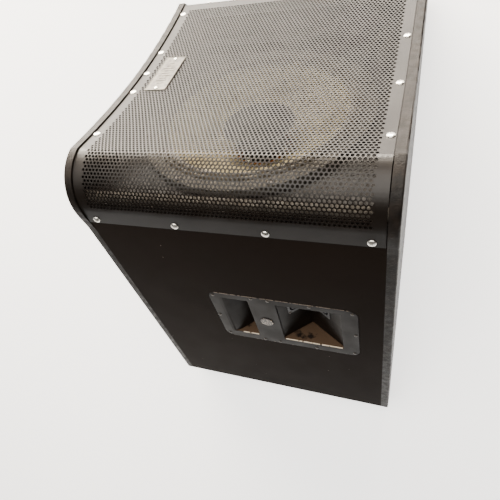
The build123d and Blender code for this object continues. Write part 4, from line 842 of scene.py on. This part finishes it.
def cut_cross(mesh, reach_mm, depth_mm):
    """Cuts a cross recess into the top of a head."""
    arm = max(0.5, reach_mm * 0.24)
    cutter_shape = bmesh.new()
    for turned_by in (0, pi / 2):
        size = Matrix.Diagonal((2 * reach_mm * MM, arm * MM, 2 * depth_mm * MM, 1))
        box = Matrix.Rotation(turned_by, 4, "Z") @ size
        bmesh.ops.create_cube(cutter_shape, size=1, matrix=box)
    cutter_mesh = bpy.data.meshes.new("cutter")
    cutter_shape.to_mesh(cutter_mesh)
    cutter_shape.free()
    cutter = link_object("cutter", cutter_mesh)
    head = link_object("head", mesh)
    cut = head.modifiers.new("cut", "BOOLEAN")
    cut.operation, cut.solver, cut.object, cut.use_self = "DIFFERENCE", "EXACT", cutter, True
    result = bpy.data.meshes.new_from_object(head.evaluated_get(bpy.context.evaluated_depsgraph_get()))
    bpy.data.objects.remove(head)
    bpy.data.objects.remove(cutter)
    return result


# %% Places of the frame's turned solids
def solids_of(node):
    """Corner points of each separate solid in a CAD node."""
    shape = merged_copy(node)
    left, groups = set(shape.verts), []
    while left:
        stack, group = [left.pop()], []
        while stack:
            corner = stack.pop()
            group.append(corner.co.copy())
            for edge in corner.link_edges:
                other = edge.other_vert(corner)
                if other in left:
                    left.remove(other)
                    stack.append(other)
        groups.append(np.array(group))
    shape.free()
    return groups


def turned_places(node):
    """Top of the head and outward direction of each turned solid in a CAD node."""
    places = []
    for points in solids_of(node):
        middle = points.mean(0)
        spread, axes = np.linalg.eigh(np.cov((points - middle).T))
        odd = 0 if abs(spread[1] - spread[0]) > abs(spread[2] - spread[1]) else 2
        axis = axes[:, odd]
        heights = (points - middle) @ axis
        radii = np.linalg.norm(points - middle - np.outer(heights, axis), axis=1)
        if heights[radii > radii.max() * 0.98].mean() < (heights.max() + heights.min()) / 2:
            axis, heights = -axis, -heights
        places.append((Vector(middle + axis * heights.max()), Vector(axis)))
    return places


# %% Fastener tree
def placed_tree():
    """Puts one object on every point, its Z along the point's facing, each turned by a random angle."""
    tree, inputs = start_tree(
        "placed_on_points",
        [("Fastener", "Object", None), ("Seed", "Int", 1), ("Material", "Material", None)],
    )
    facing = add_node(tree, "GeometryNodeInputNamedAttribute", {"Name": "facing"}, data_type="FLOAT_VECTOR")
    stand = add_node(
        tree, "FunctionNodeAlignRotationToVector", {"Vector": facing.outputs[0]}, axis="Z"
    )
    spin = add_node(tree, "FunctionNodeRandomValue", data_type="FLOAT")
    spin.inputs[3].default_value = 2 * pi
    tree.links.new(inputs["Seed"], spin.inputs["Seed"])
    about = add_node(tree, "FunctionNodeAxisAngleToRotation", {"Axis": (0, 0, 1), "Angle": spin.outputs[1]})
    turned_spin = add_node(
        tree,
        "FunctionNodeRotateRotation",
        {0: stand.outputs[0], 1: about.outputs[0]},
        rotation_space="LOCAL",
    )
    shape = add_node(tree, "GeometryNodeObjectInfo", {"Object": inputs["Fastener"]})
    placed = add_node(
        tree,
        "GeometryNodeInstanceOnPoints",
        {
            "Points": inputs["Geometry"],
            "Instance": shape.outputs["Geometry"],
            "Rotation": turned_spin.outputs[0],
        },
    )
    finish_tree(tree, placed.outputs[0], inputs["Material"])
    return tree


place_tree = placed_tree()


def place_all(name, node, mesh, material, seed):
    """One copy of a mesh at every turned solid of a CAD node, which it stands for."""
    places = turned_places(node)
    points = bpy.data.meshes.new(name + "_points")
    points.from_pydata([spot for spot, _ in places], [], [])
    facing = points.attributes.new("facing", "FLOAT_VECTOR", "POINT")
    facing.data.foreach_set("vector", [c for _, axis in places for c in axis])
    single = link_object(name + "_single", mesh)
    piece = run_tree(name, place_tree, {"Fastener": single, "Seed": seed, "Material": material}, points)
    bpy.data.objects.remove(single)
    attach(piece, "cabinet")
    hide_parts(node)
    print(name, len(places), "placed,", len(piece.data.polygons), "faces")
    return piece


# %% Fastener finishes
def zinc_plate():
    """Bright zinc on steel: nearly white metal, faintly blotched."""
    material, tree, shader, place = start_material("zinc_plated_steel", "#e4e0d8", 0.25, metallic=1.0)
    mottled(tree, shader, place, "#d2cdc3", "#f1eee8", 3)
    uneven_gloss(tree, shader, place, 0.2, 0.38, 2)
    return material


def black_oxide():
    """Blackened steel, oily and dark."""
    material, tree, shader, place = start_material("black_oxide_steel", "#2a2725", 0.35, metallic=0.6)
    mottled(tree, shader, place, "#211e1c", "#4c453e", 2)
    uneven_gloss(tree, shader, place, 0.28, 0.45, 1.5)
    return material


zinc = zinc_plate()
oxide = black_oxide()

# %% Screws and rivets
THREAD_PITCH = 1.4              # mm
THREAD_DEPTH = 0.3
FASTENERS = {
    # node: (head radius, head height, shank radius, shank length, material, slot)
    "grille_screws": (6.0, 2.6, 2.0, 16.0, zinc, "bright_screw"),
    "plate_screws": (3.2, 1.2, 1.6, 13.0, oxide, "dark_screw"),
    "frame_screws": (5.5, 3.0, 2.0, 26.0, oxide, "dark_screw"),
    "foot_screws": (5.0, 3.0, 2.2, 16.0, zinc, "bright_screw"),
    "socket_screws": (2.8, 1.2, 1.5, 8.0, oxide, "dark_screw"),
    "board_screws": (3.2, 2.0, 1.6, 23.6, zinc, "bright_screw"),
}


def screw_mesh(name, head_r, head, shank_r, length):
    """Domed head with a cross recess and a threaded shank, its top at the origin."""
    outline = dome(head_r, head * 0.8) + [(head_r, -head), (shank_r - THREAD_DEPTH, -head)]
    threads = int((length - 2.0) / THREAD_PITCH)
    for i in range(threads):
        top = -head - i * THREAD_PITCH
        outline += [(shank_r, top - THREAD_PITCH / 2), (shank_r - THREAD_DEPTH, top - THREAD_PITCH)]
    outline += [(0, -head - length)]
    return cut_cross(turned_mesh(name, outline, segments=20), head_r * 0.5, head * 0.55)


for seed, (node, (head_r, head, shank_r, length, material, slot)) in enumerate(FASTENERS.items()):
    mesh = screw_mesh(node, head_r, head, shank_r, length)
    place_all(node + "_turned", node, mesh, material, seed)
rivet = turned_mesh("rivet", dome(3.2, 0.8) + [(2.0, -0.8), (2.0, -2.3), (0, -2.3)], segments=20)
place_all("badge_rivets_turned", "badge_rivets", rivet, zinc, 7)

# %% [markdown]
# ## Badge and boss
# A small aluminium badge is pressed from sheet and brushed. Its relief is a generic row of sound-level
# bars inside a raised rim. The round boss on the plate's middle bar is a plain moulded button. Pale
# flecks over its face stand for scratches from the hands that grab the handle and for painted glints.


# %% Raised bars
def bars_mesh(bars, ease_mm):
    """Flat-topped bars with eased edges: each is (x, y, width, length, base height, rise) in millimetres."""
    shape = bmesh.new()
    for x, y, width, length, base, rise in bars:
        box = Matrix.Translation(Vector((x, y, base + rise / 2)) * MM) @ Matrix.Diagonal(
            (width * MM, length * MM, rise * MM, 1)
        )
        made = bmesh.ops.create_cube(shape, size=1, matrix=box)
        top = max(v.co.z for v in made["verts"])
        edges = {e for v in made["verts"] for e in v.link_edges if any(w.co.z > top - 1e-7 for w in e.verts)}
        upright = [e for e in edges if abs(e.verts[0].co.z - e.verts[1].co.z) > 1e-7]
        upper = [e for e in edges if e not in upright]
        reach = min(ease_mm, width / 3, rise * 0.8)
        bmesh.ops.bevel(shape, geom=upper + upright, offset=reach * MM, segments=2, affect="EDGES")
    mesh = bpy.data.meshes.new("bars")
    shape.to_mesh(mesh)
    shape.free()
    mesh.shade_smooth()
    mesh.set_sharp_from_angle(angle=radians(40))
    return mesh


def flat_place(node):
    """Middle and axes of a flat CAD node: long way, short way, outward normal."""
    points = np.concatenate(solids_of(node))
    middle = (points.max(0) + points.min(0)) / 2
    _, axes = np.linalg.eigh(np.cov((points - points.mean(0)).T))
    normal, short, long_way = (Vector(axes[:, i]) for i in range(3))
    if normal.z < 0:
        normal = -normal
    short = long_way.cross(normal)
    return Vector(middle), long_way, short, normal


def set_place(mesh, middle, x_axis, y_axis, z_axis):
    """Moves a mesh made at the origin to its place in the frame."""
    turn = Matrix((x_axis, y_axis, z_axis)).transposed().to_4x4()
    mesh.transform(Matrix.Translation(middle) @ turn)


# %% Badge
BADGE = (42.0, 106.0, 1.5)      # mm, width, length, thickness
BADGE_RIM = 1.6
BADGE_EASE = 0.3
BASE_SHARE = 0.55               # of the thickness, under the relief
BAR_WIDTH = 3.4
BAR_MARGIN = 22.0               # from the badge's ends to the first and last bar
BAR_HEIGHTS = (9, 15, 22, 27, 18, 24, 13, 20, 10)


def brushed_aluminium():
    """Pressed aluminium, brushed one way and dulled by dust."""
    material, tree, shader, place = start_material("brushed_aluminium", "#8d887d", 0.42, metallic=0.6)
    mottled(tree, shader, place, "#3c3934", "#5a564e", 8)
    uneven_gloss(tree, shader, place, 0.35, 0.52, 5)
    brushed = add_node(tree, "ShaderNodeMapping", {"Vector": place, "Scale": (1, 30, 30)})
    grained(tree, shader, brushed.outputs[0], 9, 0.03)
    return material


aluminium = brushed_aluminium()
width, length, thick = BADGE
base = thick * BASE_SHARE
relief = thick - base
bars = [(0, 0, width, length, -thick / 2, base)]
for side in (-1, 1):
    bars.append((side * (width - BADGE_RIM) / 2, 0, BADGE_RIM, length, -thick / 2, thick))
    bars.append((0, side * (length - BADGE_RIM) / 2, width, BADGE_RIM, -thick / 2, thick))
pitch = (length - 2 * BAR_MARGIN) / (len(BAR_HEIGHTS) - 1)
for i, tall in enumerate(BAR_HEIGHTS):
    along = (i - (len(BAR_HEIGHTS) - 1) / 2) * pitch
    bars.append((0, along, tall, BAR_WIDTH, -thick / 2 + base * 0.9, relief))
badge_mesh = bars_mesh(bars, BADGE_EASE)
middle, long_way, short, normal = flat_place("badge")
set_place(badge_mesh, middle, short, long_way, normal)
badge = link_object("badge_pressed", badge_mesh)
painted(badge, aluminium)
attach(badge, "cabinet")
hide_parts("badge")
print("badge:", len(badge_mesh.polygons), "faces")


# %% Boss
FLECK_WIDTH = 2.6             # mm


def boss_scratches_and_glints():
    """Dark moulded button with pale flecks over its whole face, for scratches and painted glints in one."""
    material, tree, shader, place = start_material("moulded_boss_scratches_and_glints", "#2e2621", 0.4)
    noise = {"Vector": place, "Scale": 1 / (FLECK_WIDTH * MM), "Detail": 8}
    scratch_and_glint_noise = add_node(tree, "ShaderNodeTexNoise", noise).outputs["Fac"]
    bare = add_node(tree, "ShaderNodeMapRange", {"Value": scratch_and_glint_noise, "From Min": 0.57, "From Max": 0.62})
    # Painted glints with scratches: the pale flecks stand for scratches and for light glinting off the boss.
    over(tree, shader, bare.outputs["Result"], "#b9aa96", 0.45)
    return material


boss_outline = [
    (0, 0.0), (3.0, -0.1), (3.6, -0.55), (5.4, -0.55), (6.2, -0.05), (7.4, -0.05),
    (8.2, -0.6), (9.6, -0.6), (10.4, -0.1), (11.4, -0.2), (12.0, -0.7), (12.0, -1.2), (0, -1.2),
]
boss_finish = boss_scratches_and_glints()
boss = turned_mesh("boss", boss_outline, segments=48)
place_all("emblem_turned", "emblem", boss, boss_finish, 11)

# %% [markdown]
# ## The driver
# A 15 inch coaxial driver fires through the grille. Its woven aramid cone hangs in a doped cloth
# surround at the front and a corrugated spider at the back, and a coil drives it in the magnet's gap.
# In the real driver, surround and spider bend as the cone moves. Here each is turned in sectors.

# %% Driver place
joint_of = {joint["name"]: joint for joint in frame["joints"]}
driver_axis = Vector(joint_of["cone_slide"]["axis"]).normalized()
driver_place = Vector(joint_of["cone_slide"]["pos_m"])     # on the axis, at the baffle's front face


def about_driver(mesh, turned_by=0.0):
    """Stands a mesh turned about Z on the driver's axis, heights from the baffle's front face."""
    side = BENCH_X.copy()
    set_place(mesh, Vector((0, 0, 0)), side, driver_axis.cross(side), driver_axis)
    spin = Matrix.Rotation(turned_by, 4, driver_axis)
    mesh.transform(Matrix.Translation(driver_place) @ spin)


def soft_ring(name, outline, sectors, material, node, segments):
    """Ring of flexible cloth, turned in sectors about the driver's axis."""
    for i in range(sectors):
        turned_by = 2 * pi * i / sectors
        mesh = turned_mesh(f"{name}_{i + 1}", outline, segments, sweep=2 * pi / sectors, closed=True)
        about_driver(mesh, turned_by)
        piece = link_object(f"{name}_{i + 1}", mesh)
        painted(piece, material)
        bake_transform(piece)
        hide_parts(node)
    print(name, sectors, "sectors of", len(mesh.polygons), "faces")


def sheet_outline(points, thick):
    """Closed outline of a thin sheet from the points of its upper side, in millimetres."""
    return points + [(radius, height - thick) for radius, height in reversed(points)]


# %% Cloth finishes
THREAD_WIDTH = 1.2              # mm


def doped_cloth():
    """Cotton cloth soaked in tacky dope: dark, slightly glossy, its threads half drowned."""
    material, tree, shader, place = start_material("doped_cotton_cloth", "#4a4234", 0.5)
    mottled(tree, shader, place, "#3f382c", "#564c3b", 6)
    threads = {"Vector": place, "Scale": 1 / (THREAD_WIDTH * MM) / 6.2832, "Distortion": 1}
    thread = add_node(tree, "ShaderNodeTexWave", threads)
    bump = add_node(tree, "ShaderNodeBump", {"Height": thread.outputs["Fac"], "Distance": 0.1 * MM})
    tree.links.new(bump.outputs["Normal"], shader.inputs["Normal"])
    return material


def woven(name, low, high, roughness, thread_mm, depth_mm):
    """Plain weave in the baffle's plane: warp and weft rise in turn, like a draughtboard of threads."""
    material, tree, shader, place = start_material(name, low, roughness)
    x, y, _ = bench_place(tree, place)
    waves = []
    for along in (x, y):
        angle = add_node(tree, "ShaderNodeMath", {0: along, 1: pi / (thread_mm * MM)}, operation="MULTIPLY")
        waves.append(add_node(tree, "ShaderNodeMath", {0: angle.outputs[0]}, operation="SINE").outputs[0])
    crossing = add_node(tree, MATH, {0: waves[0], 1: waves[1]}, operation="MULTIPLY").outputs[0]
    level = add_node(tree, "ShaderNodeMapRange", {"Value": crossing, "From Min": -1.0, "From Max": 1.0})
    mix = mottled(tree, shader, place, low, high, 30)
    tint = add_node(
        tree, "ShaderNodeMix", {0: level.outputs["Result"]}, data_type="RGBA", blend_type="MULTIPLY"
    )
    tree.links.new(mix.outputs["Result"], tint.inputs["B"])
    tree.links.new(mix.outputs["Result"], tint.inputs["A"])
    tree.links.new(tint.outputs["Result"], shader.inputs["Base Color"])
    bump = add_node(tree, "ShaderNodeBump", {"Height": level.outputs["Result"], "Distance": depth_mm * MM})
    tree.links.new(bump.outputs["Normal"], shader.inputs["Normal"])
    return material


doped = doped_cloth()
aramid = woven("woven_aramid", "#8f8465", "#aba07f", 0.45, 3.0, 0.15)
phenolic = woven("phenolic_cotton", "#8a5a28", "#a8743a", 0.6, 0.9, 0.08)
painted(nodes["cone"], aramid)

# %% Surround, spider and high-frequency suspension
RIM_HEIGHT = 9.0                # mm over the baffle's face
ROLL = (160.0, 176.0, 6.6, 2)   # inner and outer radius, rise, number of rolls
inner, outer, rise, rolls = ROLL
ROLL_STEPS = 20
LAP_R, RIM_R = 154.6, 183.8     # ends of the flat laps on the cone and on the frame
surround_top = [(LAP_R, RIM_HEIGHT)]
for i in range(ROLL_STEPS + 1):
    share = i / ROLL_STEPS
    height = RIM_HEIGHT + rise * abs(sin(pi * rolls * share)) ** 0.7
    surround_top.append((inner + share * (outer - inner), height))
surround_top.append((RIM_R, RIM_HEIGHT))
surround_outline = sheet_outline(surround_top, 0.8)
soft_ring(
    "surround", surround_outline, 16, doped, "surround", 10
)

SPIDER = (50.6, 91.8, -76.35)   # inner radius, outer radius, middle height
SPIDER_WAVES = 6
spider_top = []
for i in range(SPIDER_WAVES * 8 + 1):
    share = i / (SPIDER_WAVES * 8)
    fade = min(1.0, 6 * share, 6 * (1 - share))
    radius = SPIDER[0] + share * (SPIDER[1] - SPIDER[0])
    spider_top.append((radius, SPIDER[2] + 0.25 + 1.4 * fade * sin(2 * pi * SPIDER_WAVES * share)))
spider_outline = sheet_outline(spider_top, 0.4)
soft_ring("spider", spider_outline, 12, phenolic, "spider", 8)


def metal(name, low, high, roughness, patch_mm, grain_mm=0.6, depth_mm=0.02):
    """Bare or plated metal: one colour, blotched gloss and a fine grain."""
    return finish(name, low, high, roughness, patch_mm, grain_mm, depth_mm, metallic=1.0)


titanium = metal("titanium_foil", "#8f8d8a", "#a5a29e", (0.25, 0.35), 12)
hf_low, hf_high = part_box("hf_suspension")
hf_middle = Vector((0, (hf_low.y + hf_high.y) / 2, (hf_low.z + hf_high.z) / 2))
hf_height = (hf_middle - driver_place).dot(driver_axis) / MM
hf_top = [(25.9 + 18.9 * i / 24, hf_height + 0.2 + 0.35 * sin(pi * i / 4)) for i in range(25)]
hf_outline = sheet_outline(hf_top, 0.15)
soft_ring("hf_suspension", hf_outline, 8, titanium, "hf_suspension", 8)
painted(nodes["hf_diaphragm"], titanium)

# %% [markdown]
# ## Voice coil and inductors
# Enamelled copper wire is wound in tight turns. The winding is drawn as what it is, one wire following a
# helix: a curve through points worked out turn by turn, given a round bevel and turned into mesh.


# %% Copper and windings
def enamelled_copper():
    """Copper wire under clear enamel: red metal with a glossy skin."""
    material, tree, shader, place = start_material("enamelled_copper", "#b8642e", 0.3, metallic=0.9)
    mottled(tree, shader, place, "#a3521f", "#c9783c", 4)
    shader.inputs["Coat Weight"].default_value = 0.6
    shader.inputs["Coat Roughness"].default_value = 0.12
    return material


copper = enamelled_copper()
POINTS_A_TURN = 36


def wound(name, layers, turns, wire_mm, low_mm, radius_mm):
    """Mesh of one wire wound in layers of turns about Z, from a lowest height outwards."""
    data = bpy.data.curves.new(name, "CURVE")
    data.dimensions = "3D"
    data.bevel_depth = wire_mm / 2 * 0.97 * MM
    data.bevel_resolution = 1
    for layer in range(layers):
        wire = data.splines.new("POLY")
        wire.points.add(turns * POINTS_A_TURN)
        radius = radius_mm + layer * wire_mm
        for i, point in enumerate(wire.points):
            angle = 2 * pi * i / POINTS_A_TURN
            height = low_mm + wire_mm * i / POINTS_A_TURN
            point.co = (cos(angle) * radius * MM, sin(angle) * radius * MM, height * MM, 1)
    data.use_fill_caps = True
    coil = link_object(name + "_curve", data)
    mesh = bpy.data.meshes.new_from_object(coil.evaluated_get(bpy.context.evaluated_depsgraph_get()))
    bpy.data.objects.remove(coil)
    mesh.shade_smooth()
    return mesh


coil_mesh = wound("voice_coil", 1, 19, 0.95, -106.0 + 0.55, 50.55)
about_driver(coil_mesh)
voice_coil = link_object("voice_coil_wound", coil_mesh)
painted(voice_coil, copper)
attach(voice_coil, "cone_assembly")
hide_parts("voice_coil")
coil_low, coil_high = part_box("voice_coil")
heights = [round(z, 4) for z in (coil_low.z, coil_high.z)]
print("voice coil", len(coil_mesh.polygons), "faces; node height", heights)

WIRE = 1.6                      # mm, the inductors' wire
inductor_meshes = bmesh.new()
for points in solids_of("inductors"):
    low, high = points.min(0), points.max(0)
    mesh = wound("inductor", 7, 15, WIRE, WIRE / 2, 13.0 + WIRE / 2)
    mesh.transform(Matrix.Translation(((low[0] + high[0]) / 2, (low[1] + high[1]) / 2, low[2])))
    inductor_meshes.from_mesh(mesh)
inductor_mesh = bpy.data.meshes.new("inductors_wound")
inductor_meshes.to_mesh(inductor_mesh)
inductor_meshes.free()
inductor_mesh.shade_smooth()
inductors = link_object("inductors_wound", inductor_mesh)
painted(inductors, copper)
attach(inductors, "cabinet")
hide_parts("inductors")
print("inductors", len(inductor_mesh.polygons), "faces")

# %% [markdown]
# ## What stays as the frame drew it
# Plates, rings, boards and mouldings inside already have their true shape. Each gets the finish of its
# own material: zinc-passivated steel is grey with a yellow cast, ferrite is dull black, die-cast
# aluminium is hidden under matt epoxy, foam and rubber are matt and soft.


# %% Finishes of the inner pieces
INNER_FINISHES = {
    # material: (nodes, low and high colour, roughness, patch, grain width and depth in mm)
    "epoxy_coated_casting": (("driver_frame",), "#3d3933", "#4c473f", (0.5, 0.65), 20, 1.2, 0.08),
    "closed_cell_foam": (("gasket_ring", "plate_gasket"), "#38342e", "#454038", (0.8, 0.95), 6, 0.7, 0.12),
    "sintered_ferrite": (("magnet", "hf_magnet"), "#2b2b2d", "#373638", (0.55, 0.7), 12, 0.8, 0.05),
    "moulded_horn_plastic": (
        ("hf_horn", "hf_mount_ring", "hf_back_cap", "board_spacers"),
        "#131211", "#1c1a19", (0.45, 0.6), 30, 0.8, 0.03,
    ),
    "glass_filled_nylon": (("driver_terminals",), "#141416", "#1f1f22", (0.35, 0.5), 8, 0.5, 0.02),
    "polyimide_film": (("coil_former",), "#8a4a12", "#a35c1c", (0.25, 0.35), 10, 0.5, 0.01),
    "glass_epoxy_board": (("crossover_board",), "#1d4a2a", "#255a33", (0.35, 0.45), 15, 0.6, 0.02),
    "film_capacitor_sleeve": (("capacitors",), "#b8921f", "#c9a433", (0.25, 0.35), 8, 0.6, 0.01),
    "cement_resistor_body": (("resistors",), "#d5d2c8", "#e2dfd6", (0.75, 0.9), 5, 0.5, 0.06),
}
for name, (members, *look) in INNER_FINISHES.items():
    material = finish(name, *look)
    for node in members:
        painted(nodes[node], material)
steel = metal("zinc_passivated_steel", "#8f8a78", "#a39d88", (0.35, 0.5), 18)
for node in ("top_plate", "back_plate", "hf_yoke", "hf_top_plate"):
    painted(nodes[node], steel)
print("inner pieces finished:", sum(len(look[0]) for look in INNER_FINISHES.values()) + 4)

# %% [markdown]
# ## Sockets, feet and felt
# The sockets and feet are seen close up by anyone who plugs in or lifts the box, so their edges are
# eased as on the plate. The felt that lines the cheeks is a needled batt: a slab whose face rises and
# falls, so its triangles are cut small and a noise sinks the face in the mesh itself.

# %% Sockets and feet
nylon = bpy.data.materials["glass_filled_nylon"]
rubber = finish("vulcanised_rubber", "#161514", "#211f1d", (0.7, 0.85), 10, 0.8, 0.06)
for node in ("socket_in", "socket_link"):
    softened(node, 0.35, nylon)
softened("rubber_feet", 1.0, rubber, segments=3)
print("sockets and feet eased")


# %% Felt lining
def needle_felt():
    """Grey needled fibres: matt, flecked light and dark, with a soft edge sheen."""
    material, tree, shader, place = start_material("needled_felt", "#55534f", 0.95)
    mottled(tree, shader, place, "#474541", "#6b6862", 1.5, detail=8)
    grained(tree, shader, place, 1.0, 0.5, detail=6)
    shader.inputs["Sheen Weight"].default_value = 0.3
    return material


FELT_STEP = 24.0                # mm, longest edge wanted
FELT_ROUNDS = 5
felt_shape = merged_copy("lining")
bmesh.ops.triangulate(felt_shape, faces=felt_shape.faces)
for _ in range(FELT_ROUNDS):
    long_edges = [e for e in felt_shape.edges if e.calc_length() > FELT_STEP * MM]
    if long_edges:
        bmesh.ops.subdivide_edges(felt_shape, edges=long_edges, cuts=1)
        bmesh.ops.triangulate(felt_shape, faces=felt_shape.faces)
_, felt_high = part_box("lining")
FELT_WAVE = 30.0                # mm, width of the hollows in the felt
FELT_SINK = 1.5                 # mm, their depth
for corner in felt_shape.verts:
    if felt_high.x - abs(corner.co.x) > 1 * MM:
        sink = FELT_SINK * MM * (0.5 + 0.5 * noise.noise(corner.co / (FELT_WAVE * MM)))
        corner.co.x += copysign(sink, corner.co.x)
felt_mesh = bpy.data.meshes.new("lining_felt")
felt_shape.to_mesh(felt_mesh)
felt_shape.free()
felt_mesh.shade_smooth()
felt_mesh.set_sharp_from_angle(angle=radians(50))
felt = link_object("lining_felt", felt_mesh)
painted(felt, needle_felt())
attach(felt, "cabinet")
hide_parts("lining")
print("felt", len(felt_mesh.polygons), "faces")
